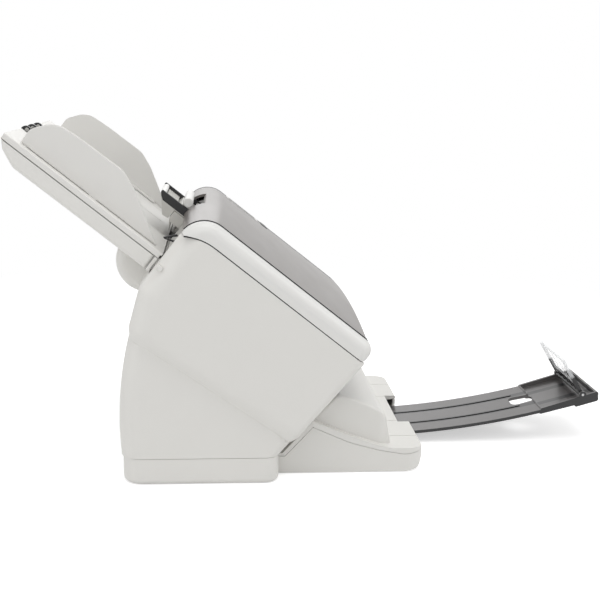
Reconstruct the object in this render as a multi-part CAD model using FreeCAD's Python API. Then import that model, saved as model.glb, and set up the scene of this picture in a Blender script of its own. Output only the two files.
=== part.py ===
import FreeCAD, Part
import math
import os
from FreeCAD import Vector

# Sheet-fed document scanner, millimetres. X is the width, the tray leaves towards -Y, +Z is up.
# Origin: middle of the plinth underside. The paper path is tilted; its pieces are drawn in a
# level frame (y along the path, z normal to it) and laid onto the slope by tilted().

SLOPE = 38.5
PATH_ROOT = Vector(0, 35.4, 208.1)
GAP = 0.3
BORE_PLAY = 0.05
WALL = 2.5
FAR = 400.0

HEAD_HALF = 150.0
COLUMN_INSET = 5.5
COLUMN_HALF = HEAD_HALF - COLUMN_INSET
COVER_SPLIT = HEAD_HALF - 23.0
SIDE_ROUND = 18.0
FRONT_ROUND = 7.0
SEAM_V = 34.2
HEAD_FRONT = -202.0
HEAD_REAR = -7.6
SEAM_ROUND = 48.0
DRUM_AT = (45.8, 190.4)
DRUM_R = 29.4
DRUM_HALF = 85.0

PLINTH_HEIGHT = 24.0
PLINTH_FRONT = -70.0
PLINTH_REAR = 68.4
FLOOR = 2.5
SCREW_SPOTS = [(x, y) for x in (-104.0, 104.0) for y in (-45.0, 40.0)]
FOOT_SPOTS = [(x, y) for x in (-120.0, 120.0) for y in (-52.0, 48.0)]
BOARD_SPOTS = [(x, y) for x in (-74.0, 54.0) for y in (-14.0, 44.0)]
BOARD_Z = 10.0
DC_AT = -60.0
USB_AT = -32.0

PLATE_IN = 110.5
PLATE_OUT = 112.0
GUIDE_HALF = 110.3
PAPER_GAP = 1.6

SHAFT_R = 3.0
TYRE_R = 8.0
TYRE_LONG = 18.0
TYRE_X = (-80.0, -30.0, 30.0, 80.0)
FEED_AT = (-52.0, -7.9)
EJECT_AT = (-165.0, -7.9)
PICK_AT = (-20.0, -11.8)
PICK_R = 12.0
PICK_HALF = 20.0
SEPARATE_R = 11.0
SEPARATE_AT = (PICK_AT[0], 11.6)
PINCH_R = 5.0
PINCH_V = 5.5
PINCH_AXLE_R = 1.5

MODULE = 1.0
SHAFT_TEETH = 18
IDLER_TEETH = 32
PINION_TEETH = 12
GEAR_X = 122.3
GEAR_WIDE = 4.0
STUD_R = 2.5
FINE_MODULE = 0.6
PICK_TEETH = 14
PICK_IDLER_TEETH = 47
PICK_GEAR_X = 50.0
PICK_GEAR_WIDE = 6.0

HINGE_U = -196.5
HINGE_V = 39.5
HINGE_PIN_R = 1.6
BARREL_R = 4.5
EAR_X0 = COVER_SPLIT + 1.0
EAR_X1 = EAR_X0 + 5.0
LID_LOW = 35.2
LID_TOP = 51.5
LID_FLOOR = 48.4
LID_FLOOR_THICK = 1.9
LID_BACK_U = -31.0
LID_BACK_V = 27.5
LID_BACK_R = 24.0
LID_SIDE = 3.0
PANEL_SEAM = 0.8
PANEL_HALF = HEAD_HALF - 11.0
PANEL_THICK = 2.5
PANEL_FRONT = -193.0
PANEL_CROWN = 4.5
NOTCH_HALF = 40.0
NOTCH_U = -14.0

LEVER_U = -17.0
LEVER_V = 34.0
LEVER_PIN_R = 2.0
CHEEK_IN = 33.0
CHEEK_OUT = 37.0
CHEEK_TOP = 33.9
NOSE_AT = (21.9, 30.9)
NOSE_R = 2.8
CAP_U = -1.6
CAP_R = 4.6

DISPLAY = (PANEL_HALF - 41.0, PANEL_HALF - 5.0, -80.0, -37.5)
BUTTON_R = 4.5
BUTTON_U = -88.5
START_X = PANEL_HALF - 31.0
STOP_X = PANEL_HALF - 15.0
BUTTON_TRAVEL = 1.0

HOPPER_HALF = 125.0
HOPPER_U = -14.0
HOPPER_V = -8.0
HOPPER_PIN_R = 2.5
HOPPER_THICK = 2.2
HOPPER_SEAM = -5.5
HOPPER_LOW = -20.0
HOPPER_END = 160.0
ARM_X1 = HOPPER_HALF - 3.0
ARM_X0 = ARM_X1 - 8.0
GUIDE_IN = HOPPER_HALF - 13.0
GUIDE_THICK = 3.0
GUIDE_TRAVEL = 85.0
RACK_U = 70.0
RACK_TEETH = 16
RACK_LOW = -11.0
RACK_THICK = 3.0
SLIDE_HALF = 45.0
SLIDE_LOW = -13.8
SLIDE_THICK = 2.2
SLIDE_TAIL = 6.0
SLIDE_END = HOPPER_END - 8.0

TRAY_HALF = 119.5
TRAY_WALL = 2.2
ARC_Y = -146.0
ARC_TOP = 9.87
ARC_R = 800.0
STRIP_HALF = 41.0
STRIP_THICK = 3.0
STRIP_IN = -186.0
STRIP_OUT = -328.0
STRIP_TRAVEL = 7.0
END_SLOPE = 16.7
FLAP_Y = -375.0
FLAP_Z = 47.0
FLAP_TALL = 40.5
FLAP_REST = 59.3
FLAP_HALF = 38.0
FLAP_PIN_R = 1.25
NOTCH = (-43.0, 43.0, -206.0, -192.0)


def block(x0, x1, y0, y1, z0, z1):
    return Part.makeBox(x1 - x0, y1 - y0, z1 - z0, Vector(x0, y0, z0))


def rod(x0, x1, y, z, r):
    return Part.makeCylinder(r, x1 - x0, Vector(x0, y, z), Vector(1, 0, 0))


def post(x, y, z0, z1, r):
    return Part.makeCylinder(r, z1 - z0, Vector(x, y, z0), Vector(0, 0, 1))


def join(shapes):
    shapes = list(shapes)
    if len(shapes) == 1:
        return shapes[0]
    return shapes[0].multiFuse(shapes[1:]).removeSplitter()


def cut(shape, tools):
    return shape.cut(list(tools))


def turned(shape, y, z, degrees):
    copy = shape.copy()
    copy.rotate(Vector(0, y, z), Vector(1, 0, 0), degrees)
    return copy


def tilted(shape):
    copy = turned(shape, 0, 0, SLOPE)
    copy.translate(PATH_ROOT)
    return copy


def mirrored(shape):
    return shape.mirror(Vector(0, 0, 0), Vector(1, 0, 0))


def both(shape):
    return join([shape, mirrored(shape)])


def path_point(u, v):
    s = math.radians(SLOPE)
    y = PATH_ROOT.y + u * math.cos(s) - v * math.sin(s)
    z = PATH_ROOT.z + u * math.sin(s) + v * math.cos(s)
    return y, z


def outline(corners, plane="yz"):
    """Closed wire through corners (a, b, radius), each corner rounded by its radius."""
    def place(a, b):
        return Vector(0, a, b) if plane == "yz" else Vector(a, b, 0)
    edges = []
    ends = []
    count = len(corners)
    for i in range(count):
        a, b, r = corners[i]
        here = place(a, b)
        back = place(*corners[i - 1][:2]) - here
        ahead = place(*corners[(i + 1) % count][:2]) - here
        if r <= 0:
            ends.append((here, here, None))
            continue
        half = back.getAngle(ahead) / 2
        reach = r / math.tan(half)
        back.normalize()
        ahead.normalize()
        inward = back + ahead
        inward.normalize()
        middle = here + inward * (r / math.sin(half) - r)
        start = here + back * reach
        stop = here + ahead * reach
        ends.append((start, stop, Part.Arc(start, middle, stop).toShape()))
    for i in range(count):
        start, stop, arc = ends[i]
        if arc is not None:
            edges.append(arc)
        following = ends[(i + 1) % count][0]
        if stop.distanceToPoint(following) > 1e-4:
            edges.append(Part.makeLine(stop, following))
    return Part.Wire(edges)


def prism(corners, x0, x1):
    face = Part.Face(outline(corners))
    face.translate(Vector(x0, 0, 0))
    return face.extrude(Vector(x1 - x0, 0, 0))


def upright(corners, z0, z1):
    face = Part.Face(outline(corners, "xy"))
    face.translate(Vector(0, 0, z0))
    return face.extrude(Vector(0, 0, z1 - z0))


def edges_where(shape, test):
    found = []
    for edge in shape.Edges:
        middle = edge.valueAt((edge.FirstParameter + edge.LastParameter) / 2)
        if test(edge.BoundBox, middle):
            found.append(edge)
    return found


def at_side(box, x):
    return abs(box.XMin - x) < 1e-6 and abs(box.XMax - x) < 1e-6


def wheel(module, teeth, x0, wide, bore, y, z, phase):
    """Spur gear with its axle along X; a tooth points to the angle phase from +Y."""
    pitch = module * teeth / 2
    tip = pitch + 0.9 * module
    root = pitch - 1.25 * module
    step = 360.0 / teeth
    points = []
    for i in range(teeth):
        for radius, share in ((root, -0.30), (tip, -0.10), (tip, 0.10), (root, 0.30)):
            angle = math.radians(phase + step * (i + share))
            points.append(Vector(x0, y + radius * math.cos(angle), z + radius * math.sin(angle)))
    points.append(points[0])
    body = Part.Face(Part.makePolygon(points)).extrude(Vector(wide, 0, 0))
    if bore > 0:
        body = body.cut(rod(x0 - 1, x0 + wide + 1, y, z, bore))
    return body


def meshed(first, second, teeth1, phase1, teeth2):
    """Phase of the second gear so that its gap meets the tooth of the first."""
    angle = math.degrees(math.atan2(second[1] - first[1], second[0] - first[0]))
    share = (angle - phase1) / (360.0 / teeth1)
    return angle + 180 - (360.0 / teeth2) * (0.5 - share)


def head(inset):
    """Right half of the tilted head without the rounded seam corner."""
    side = HEAD_HALF - inset
    corner = SIDE_ROUND + 2 - inset
    body = prism([(HEAD_FRONT + inset, SEAM_V, 0),
                  (HEAD_REAR - inset, SEAM_V, 0),
                  (HEAD_REAR - inset, -34 + 0.6 * inset, corner),
                  (-26 - 0.9 * inset, -78 + inset, corner),
                  (-198 + 0.9 * inset, -66 + inset, 0)], 0, side)
    long_edges = edges_where(body, lambda b, m: at_side(b, side) and m.z < SEAM_V and m.y > -190)
    body = body.makeFillet(SIDE_ROUND - inset, long_edges)
    short_edges = edges_where(body, lambda b, m: at_side(b, side) and m.y < -190)
    body = body.makeFillet(FRONT_ROUND - inset, short_edges)
    centre_u = HEAD_REAR - 29.4
    centre_v = SEAM_V - SEAM_ROUND
    over = block(-1, 200, centre_u, 20, 0, 80)
    over = over.cut(rod(-2, 201, centre_u, centre_v, SEAM_ROUND))
    return tilted(body.cut(over))


def column(inset):
    """Right half of the upright column, drawn down past the plinth seam."""
    side = COLUMN_HALF - inset
    low = (68.2 - inset, 10)
    mid = (69.9 - inset, 80)
    top = (54.3 - inset, 156)
    front = (-81.0 + 1.2 * inset, 37.7)
    toe = (-56.1 + 1.2 * inset, 10)
    spine = Part.Arc(Vector(0, *low), Vector(0, *mid), Vector(0, *top)).toShape()
    ring = [top, path_point(-34, -34), path_point(-140, -40), front, toe, low]
    edges = [spine]
    for first, second in zip(ring, ring[1:]):
        edges.append(Part.makeLine(Vector(0, *first), Vector(0, *second)))
    body = Part.Face(Part.Wire(edges)).extrude(Vector(side, 0, 0))
    rear = edges_where(body, lambda b, m: at_side(b, side) and b.ZLength > 120 and m.y > 40)
    body = body.makeFillet(SIDE_ROUND - inset, rear)
    fore = edges_where(body, lambda b, m: at_side(b, side) and m.y < -60 and m.z < 150)
    body = body.makeFillet(8 - inset, fore)
    return body.cut(block(-1, 200, -200, 200, -10, PLINTH_HEIGHT + 0.4))


def body_solid(inset):
    return head(inset).fuse(column(inset))


def side_cover(side):
    """Outer cover of one side, with the lid hinge ear and the hopper pivot boss."""
    def handed(shape):
        return shape if side > 0 else mirrored(shape)
    slab = block(COVER_SPLIT, FAR, -FAR, FAR, -10, FAR)
    shell = handed(body_solid(0)).common(handed(slab)).cut(handed(body_solid(WALL)))
    boss = rod(ARM_X1 + 1.3, HEAD_HALF - 1, HOPPER_U, HOPPER_V, 6)
    hole = rod(ARM_X0, HEAD_HALF - 13, HOPPER_U, HOPPER_V, HOPPER_PIN_R + BORE_PLAY)
    ear = join([block(EAR_X0, EAR_X1, HEAD_FRONT + 1.2, HINGE_U + 3, 18, SEAM_V + 2),
                block(EAR_X0, EAR_X1, HINGE_U - 3, HINGE_U + 3, SEAM_V, HINGE_V),
                rod(EAR_X0, EAR_X1, HINGE_U, HINGE_V, 3)])
    pin = rod(EAR_X0 - 1, EAR_X1 + 1, HINGE_U, HINGE_V, HINGE_PIN_R + BORE_PLAY)
    strap = block(COVER_SPLIT + 0.5, HEAD_HALF - 3, -13.2, HEAD_REAR - 1, -10, -6)
    boss = handed(tilted(boss)).common(handed(body_solid(0)))
    shell = join([shell, boss, handed(tilted(ear)), handed(tilted(strap))])
    return cut(shell, [handed(tilted(hole)), handed(tilted(pin))])


def centre_shell():
    half = COVER_SPLIT - GAP
    slab = block(0, half, -FAR, FAR, -10, FAR)
    outer = body_solid(0).common(slab)
    inner = body_solid(WALL).common(slab)
    return outer, inner


def rear_cover():
    outer, inner = centre_shell()
    drum = rod(0, DRUM_HALF, *DRUM_AT, DRUM_R)
    drum = drum.makeFillet(9, edges_where(drum, lambda b, m: at_side(b, DRUM_HALF)))
    room = DRUM_HALF - WALL
    hollow = rod(0, room, *DRUM_AT, DRUM_R - WALL)
    hollow = hollow.makeFillet(7, edges_where(hollow, lambda b, m: at_side(b, room)))
    shell = outer.fuse(drum).cut(inner.fuse(hollow))
    above = tilted(block(-1, FAR, -FAR, 100, HOPPER_LOW - 1.5, FAR))
    ahead = block(-1, FAR, -FAR, 8, -20, FAR)
    half = cut(shell, [above, ahead])
    half = keep_largest(half)
    whole = both(half)
    vents = [block(-52 + 8 * i, -48.5 + 8 * i, 60, 75, 60, 84) for i in range(14)]
    return cut(whole, vents)


def front_cover():
    outer, inner = centre_shell()
    shell = outer.cut(inner)
    above = tilted(block(-1, FAR, -FAR, 100, -4, FAR))
    behind = block(-1, FAR, -8, FAR, -20, FAR)
    return both(keep_largest(cut(shell, [above, behind])))


def keep_largest(shape):
    return max(shape.Solids, key=lambda s: s.Volume)


def plinth_plan(inset, front_r, rear_r):
    x = COLUMN_HALF - inset
    return [(-x, PLINTH_FRONT + inset, front_r), (x, PLINTH_FRONT + inset, front_r),
            (x, PLINTH_REAR - inset, rear_r), (-x, PLINTH_REAR - inset, rear_r)]


def base_plinth():
    body = upright(plinth_plan(0, 12, SIDE_ROUND), 0, PLINTH_HEIGHT)
    low = edges_where(body, lambda b, m: b.ZMax < 0.01)
    body = body.makeFillet(5, low)
    body = body.cut(upright(plinth_plan(WALL, 9.5, 15.5), FLOOR, PLINTH_HEIGHT + 1))
    parts = [body]
    for x, y in SCREW_SPOTS:
        parts.append(post(x, y, FLOOR - 0.5, 7.7, 5))
    for x, y in BOARD_SPOTS:
        parts.append(post(x, y, FLOOR - 0.5, BOARD_Z - GAP, 3))
    body = join(parts)
    tools = []
    for x, y in SCREW_SPOTS:
        tools.append(post(x, y, -1, 3.2, 4))
        tools.append(post(x, y, -1, 9, 1.7))
    for x, y in FOOT_SPOTS:
        tools.append(post(x, y, -1, 1.7, 8.2))
    for x in (-60, 60):
        tools.append(block(x - 12.3, x + 12.3, PLINTH_FRONT - 1, PLINTH_FRONT + WALL + 1, 7.4, 12.6))
    tools.append(block(DC_AT - 6.3, DC_AT + 6.3, 60, 72, BOARD_Z + 1.6, BOARD_Z + 12.2))
    tools.append(block(USB_AT - 6.8, USB_AT + 6.8, 60, 72, BOARD_Z + 1.6, BOARD_Z + 12.2))
    for i in range(9):
        tools.append(block(-22 + 8 * i, -18 + 8 * i, -20, 10, -1, FLOOR + 1))
    return cut(body, tools)


def rubber_feet():
    return Part.Compound([post(x, y, 0, 1.5, 8) for x, y in FOOT_SPOTS])


def case_screws():
    screws = []
    for x, y in SCREW_SPOTS:
        screws.append(join([post(x, y, 0.9, 2.9, 3.5), post(x, y, 2.5, 9.3, 1.5)]))
        screws[-1] = screws[-1].cut(block(x - 2.5, x + 2.5, y - 0.4, y + 0.4, 0, 1.8))
    return Part.Compound(screws)


def idler_centres():
    """Three large idlers sag evenly between the feed gear and the eject gear."""
    near = MODULE * (SHAFT_TEETH + IDLER_TEETH) / 2
    far = MODULE * IDLER_TEETH
    span = (FEED_AT[0] - EJECT_AT[0]) / 2
    fall = math.sqrt((near + far) ** 2 - span ** 2) / (near + far)
    run = span / (near + far)
    rear = (FEED_AT[0] - near * run, FEED_AT[1] - near * fall)
    middle = (rear[0] - far * run, rear[1] - far * fall)
    fore = (2 * middle[0] - rear[0], rear[1])
    return rear, middle, fore


IDLER_REAR, IDLER_MIDDLE, IDLER_FORE = idler_centres()
MOTOR_AT = (IDLER_MIDDLE[0], IDLER_MIDDLE[1] - MODULE * (IDLER_TEETH + PINION_TEETH) / 2)


def pick_idler_centre():
    reach = FINE_MODULE * (PICK_TEETH + PICK_IDLER_TEETH) / 2
    du = PICK_AT[0] - FEED_AT[0]
    dv = PICK_AT[1] - FEED_AT[1]
    span = math.hypot(du, dv)
    drop = math.sqrt(reach ** 2 - span ** 2 / 4)
    return ((FEED_AT[0] + PICK_AT[0]) / 2 + dv / span * drop,
            (FEED_AT[1] + PICK_AT[1]) / 2 - du / span * drop)


PICK_IDLER_AT = pick_idler_centre()


def chassis_frame():
    ring = [path_point(-192, -3.2), path_point(-12, -3.2), path_point(-12, -30), (48, 140),
            (55, 60), (52, 8), (-56, 8), path_point(-189, -52)]
    plate = prism([(y, z, 3) for y, z in ring], PLATE_IN, PLATE_OUT)
    plate = plate.cut(tilted(join([rod(100, 120, *FEED_AT, 5.05), rod(100, 120, *EJECT_AT, 5.05)])))
    windows = [rod(100, 120, 8, 90, 20), rod(100, 120, 14, 46, 16), rod(100, 120, -34, 62, 14),
               rod(100, 120, -28, 32, 8)]
    plate = cut(plate, windows + [tilted(rod(100, 120, *MOTOR_AT, 6))])
    feet = [block(97, PLATE_OUT, y - 7, y + 7, 8, 9.5) for y in (-45, 40)]
    right = join([plate] + feet)
    studs = [rod(PLATE_IN, 127, *at, STUD_R) for at in (IDLER_REAR, IDLER_MIDDLE, IDLER_FORE)]
    bars = [tilted(rod(-PLATE_OUT, PLATE_OUT, -178, -46, 4)),
            tilted(rod(-PLATE_OUT, PLATE_OUT, -70, -52, 4)),
            rod(-PLATE_OUT, PLATE_OUT, 44, 100, 4), rod(-PLATE_OUT, PLATE_OUT, -46, 22, 4)]
    frame = join([right, mirrored(right)] + [tilted(s) for s in studs] + bars)
    holes = [post(x, y, 7, 11, BORE_PLAY + 1.5) for x, y in SCREW_SPOTS]
    return cut(frame, holes)


def shaft_bushes():
    bushes = []
    for at in (FEED_AT, EJECT_AT):
        for side in (1, -1):
            bush = join([rod(PLATE_IN - 0.2, 114, *at, 5), rod(PLATE_OUT + 0.1, 114, *at, 7)])
            bush = bush.cut(rod(100, 120, *at, SHAFT_R + BORE_PLAY))
            bushes.append(bush if side > 0 else mirrored(bush))
    return tilted(Part.Compound(bushes))


def lower_guide():
    plate = block(-GUIDE_HALF, GUIDE_HALF, -200, -9, -2.5, 0)
    lip = block(22.3, GUIDE_HALF, -11, -8.6, -21.2, 0)
    skirt = block(GUIDE_HALF - 2.3, GUIDE_HALF, -192, -13, -13, -1)
    rib = block(58, 61, -45, -13, -25, -1)
    stud = rod(PICK_GEAR_X - 0.5, 58, *PICK_IDLER_AT, 1.5)
    brackets = [block(x - 1.5, x + 1.5, -29, -13, -20, -1) for x in (-25.5, 25.5)]
    beams = [block(x - 1, x + 1, u0, u1, -9, -1) for x in (-55, 0, 46)
             for u0, u1 in ((-150, -116), (-94, -66))]
    body = join([plate, lip, mirrored(lip), skirt, mirrored(skirt), rib, stud] + brackets + beams)
    tools = [block(-22, 22, -34, -8, -3, 1)]
    for u, v in (FEED_AT, EJECT_AT):
        tools.append(rod(-120, 120, u, v, 4))
        for x in TYRE_X:
            tools.append(block(x - 10, x + 10, u - 8.6, u + 8.6, -3, 1))
    tools.append(rod(-29, 60, *PICK_AT, SHAFT_R + BORE_PLAY))
    tools.append(block(-106.3, 106.3, -112.3, -97.7, -3, 1))
    return tilted(cut(body, tools))


def glass(z0):
    return tilted(block(-106, 106, -112, -98, z0, z0 + 2))


def lower_sensor():
    case = block(-106, 106, -113, -97, -16, -2.8)
    bed = block(-104, 104, -110, -100, -4.3, -2)
    return tilted(case.cut(bed))


def upper_sensor():
    top = PAPER_GAP + 2.8
    case = block(-106, 106, -113, -97, top, top + 13.2)
    bed = block(-104, 104, -110, -100, top - 1, top + 1.5)
    return tilted(case.cut(bed))


def drive_motor():
    can = rod(78, PLATE_IN - GAP, *MOTOR_AT, 17)
    can = can.makeFillet(1.5, edges_where(can, lambda b, m: at_side(b, 78)))
    boss = rod(PLATE_IN - 1, 114, *MOTOR_AT, 5.5)
    bore = rod(84, 120, *MOTOR_AT, 1.5 + BORE_PLAY)
    lugs = block(PLATE_IN - 2.3, PLATE_IN - GAP, MOTOR_AT[0] - 24, MOTOR_AT[0] + 24,
                 MOTOR_AT[1] - 4, MOTOR_AT[1] + 4)
    return tilted(join([can, boss, lugs]).cut(bore))


PHASE_MIDDLE = 90.0
PHASE_REAR = meshed(IDLER_MIDDLE, IDLER_REAR, IDLER_TEETH, PHASE_MIDDLE, IDLER_TEETH)
PHASE_FORE = meshed(IDLER_MIDDLE, IDLER_FORE, IDLER_TEETH, PHASE_MIDDLE, IDLER_TEETH)
PHASE_FEED = meshed(IDLER_REAR, FEED_AT, IDLER_TEETH, PHASE_REAR, SHAFT_TEETH)
PHASE_EJECT = meshed(IDLER_FORE, EJECT_AT, IDLER_TEETH, PHASE_FORE, SHAFT_TEETH)
PHASE_PINION = meshed(IDLER_MIDDLE, MOTOR_AT, IDLER_TEETH, PHASE_MIDDLE, PINION_TEETH)
PHASE_IDLE = meshed(FEED_AT, PICK_IDLER_AT, PICK_TEETH, 0, PICK_IDLER_TEETH)
PHASE_PICK = meshed(PICK_IDLER_AT, PICK_AT, PICK_IDLER_TEETH, PHASE_IDLE, PICK_TEETH)


def idler(at, phase):
    disc = wheel(MODULE, IDLER_TEETH, GEAR_X, GEAR_WIDE, 0, *at, phase)
    groove = rod(GEAR_X + GEAR_WIDE - 1.2, GEAR_X + GEAR_WIDE + 1, *at, 12.5)
    groove = groove.cut(rod(GEAR_X, GEAR_X + GEAR_WIDE + 2, *at, 5))
    hub = rod(PLATE_OUT + GAP, GEAR_X + 1, *at, 4.5)
    bore = rod(PLATE_IN, 130, *at, STUD_R + BORE_PLAY)
    return tilted(cut(join([disc, hub]), [groove, bore]))


def pick_idler():
    disc = wheel(FINE_MODULE, PICK_IDLER_TEETH, PICK_GEAR_X, PICK_GEAR_WIDE, 0,
                 *PICK_IDLER_AT, PHASE_IDLE)
    face = rod(PICK_GEAR_X - 1, PICK_GEAR_X + 1.5, *PICK_IDLER_AT, 11)
    face = face.cut(rod(PICK_GEAR_X - 2, PICK_GEAR_X + 2, *PICK_IDLER_AT, 4))
    bore = rod(PICK_GEAR_X - 1, 60, *PICK_IDLER_AT, 1.5 + BORE_PLAY)
    return tilted(cut(disc, [face, bore]))


def motor_pinion():
    gear = wheel(MODULE, PINION_TEETH, GEAR_X, GEAR_WIDE, 0, *MOTOR_AT, PHASE_PINION)
    return tilted(join([gear, rod(86, GEAR_X + GEAR_WIDE, *MOTOR_AT, 1.5)]))


def driven_shaft(at, phase):
    bar = rod(-113.8, GEAR_X + GEAR_WIDE, *at, SHAFT_R)
    return [bar, wheel(MODULE, SHAFT_TEETH, GEAR_X, GEAR_WIDE, 0, *at, phase)]


def feed_shaft():
    parts = driven_shaft(FEED_AT, PHASE_FEED)
    parts.append(wheel(FINE_MODULE, PICK_TEETH, PICK_GEAR_X, PICK_GEAR_WIDE, 0, *FEED_AT, 0))
    return tilted(join(parts))


def eject_shaft():
    return tilted(join(driven_shaft(EJECT_AT, PHASE_EJECT)))


def tyre(x, wide, at, r, bore):
    ring = rod(x - wide / 2, x + wide / 2, *at, r)
    return ring.cut(rod(x - wide, x + wide, *at, bore))


def tyres(at):
    return tilted(Part.Compound([tyre(x, TYRE_LONG, at, TYRE_R, SHAFT_R + 0.01) for x in TYRE_X]))


def pick_shaft():
    bar = rod(-28.5, 57.5, *PICK_AT, SHAFT_R)
    gear = wheel(FINE_MODULE, PICK_TEETH, PICK_GEAR_X, PICK_GEAR_WIDE, 0, *PICK_AT, PHASE_PICK)
    return tilted(join([bar, gear]))


def ribbed_roller(at, r, bore):
    roller = tyre(0, 2 * PICK_HALF, at, r, bore)
    grooves = []
    for x in (-10, 0, 10):
        ring = rod(x - 0.6, x + 0.6, *at, r + 1).cut(rod(x - 2, x + 2, *at, r - 0.8))
        grooves.append(ring)
    return cut(roller, grooves)


def pick_roller():
    return tilted(ribbed_roller(PICK_AT, PICK_R, SHAFT_R + 0.01))


def separation_roller():
    roller = ribbed_roller(SEPARATE_AT, SEPARATE_R, 0.5)
    return tilted(join([roller, rod(-25, 25, *SEPARATE_AT, 2)]))


def pinch(at):
    u = at[0]
    parts = [rod(-99, 99, u, PINCH_V, PINCH_AXLE_R)]
    for x in TYRE_X:
        parts.append(tyre(x, 14, (u, PINCH_V), PINCH_R, 0.5))
    return tilted(join(parts))


def main_board():
    card = block(-80, 60, -20, 56, BOARD_Z, BOARD_Z + 1.6)
    parts = [card]
    for x, y, w, d, h in ((-8, 16, 22, 22, 2.4), (28, 24, 14, 10, 2), (-46, 2, 16, 12, 2),
                          (40, -8, 24, 7, 6), (-20, -12, 30, 6, 6)):
        z = BOARD_Z + 1.5
        parts.append(block(x - w / 2, x + w / 2, y - d / 2, y + d / 2, z, z + h))
    for x, y in ((-66, 20), (-54, 20), (46, 8)):
        parts.append(post(x, y, BOARD_Z + 1.5, BOARD_Z + 11, 4))
    return join(parts).cut(Part.Compound([post(x, y, 5, 15, 1.6) for x, y in BOARD_SPOTS]))


def dc_inlet():
    case = block(DC_AT - 6, DC_AT + 6, 50, PLINTH_REAR - 0.4, BOARD_Z + 1.9, BOARD_Z + 11.9)
    well = Part.makeCylinder(3.4, 12, Vector(DC_AT, PLINTH_REAR - 10, BOARD_Z + 6.9), Vector(0, 1, 0))
    needle = Part.makeCylinder(0.9, 8, Vector(DC_AT, PLINTH_REAR - 10.5, BOARD_Z + 6.9),
                               Vector(0, 1, 0))
    return join([case.cut(well), needle])


def usb_port():
    case = block(USB_AT - 6.5, USB_AT + 6.5, 50, PLINTH_REAR - 0.4, BOARD_Z + 1.9, BOARD_Z + 11.9)
    well = block(USB_AT - 4.2, USB_AT + 4.2, PLINTH_REAR - 9, PLINTH_REAR + 2, BOARD_Z + 3.6,
                 BOARD_Z + 10.8)
    tongue = block(USB_AT - 2.8, USB_AT + 2.8, PLINTH_REAR - 9.5, PLINTH_REAR - 2, BOARD_Z + 5.8,
                   BOARD_Z + 8.8)
    return join([case.cut(well), tongue])


def arc_in(start, middle, stop):
    return Part.Arc(Vector(0, *start), Vector(0, *middle), Vector(0, *stop)).toShape()


def line_in(start, stop):
    return Part.makeLine(Vector(0, *start), Vector(0, *stop))


def lid_blank():
    """Right half of the closed lid block: a rounded cap cut to the seam below it."""
    front = HINGE_U - BARREL_R - 0.2
    cap = prism([(front, 0, 0), (front, LID_TOP, 10.5),
                 (LID_BACK_U + LID_BACK_R, LID_TOP, LID_BACK_R),
                 (LID_BACK_U + LID_BACK_R, 0, 0)], 0, HEAD_HALF)
    rim = edges_where(cap, lambda b, m: at_side(b, HEAD_HALF) and m.z > 1)
    cap = cap.makeFillet(9.5, rim)
    c45 = math.sqrt(0.5)
    u, v = HINGE_U, HINGE_V
    low = v - BARREL_R
    seam_u = HEAD_REAR - 29.4
    seam_v = SEAM_V - SEAM_ROUND
    seam_r = SEAM_ROUND + LID_LOW - SEAM_V

    def seam(at):
        return (at, seam_v + math.sqrt(seam_r ** 2 - (at - seam_u) ** 2))
    far = LID_BACK_V + 1
    edges = [
        line_in((-210, v), (u - BARREL_R, v)),
        arc_in((u - BARREL_R, v), (u - BARREL_R * c45, v - BARREL_R * c45), (u, low)),
        line_in((u, low), seam(seam_u)),
        arc_in(seam(seam_u), seam(-23), seam(-9.5)),
        line_in(seam(-9.5), (-4.5, far)), line_in((-4.5, far), (10, far)),
        line_in((10, far), (10, 70)), line_in((10, 70), (-210, 70)), line_in((-210, 70), (-210, v))]
    above = Part.Face(Part.Wire(edges)).extrude(Vector(HEAD_HALF + 10, 0, 0))
    return cap.common(above)


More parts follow.
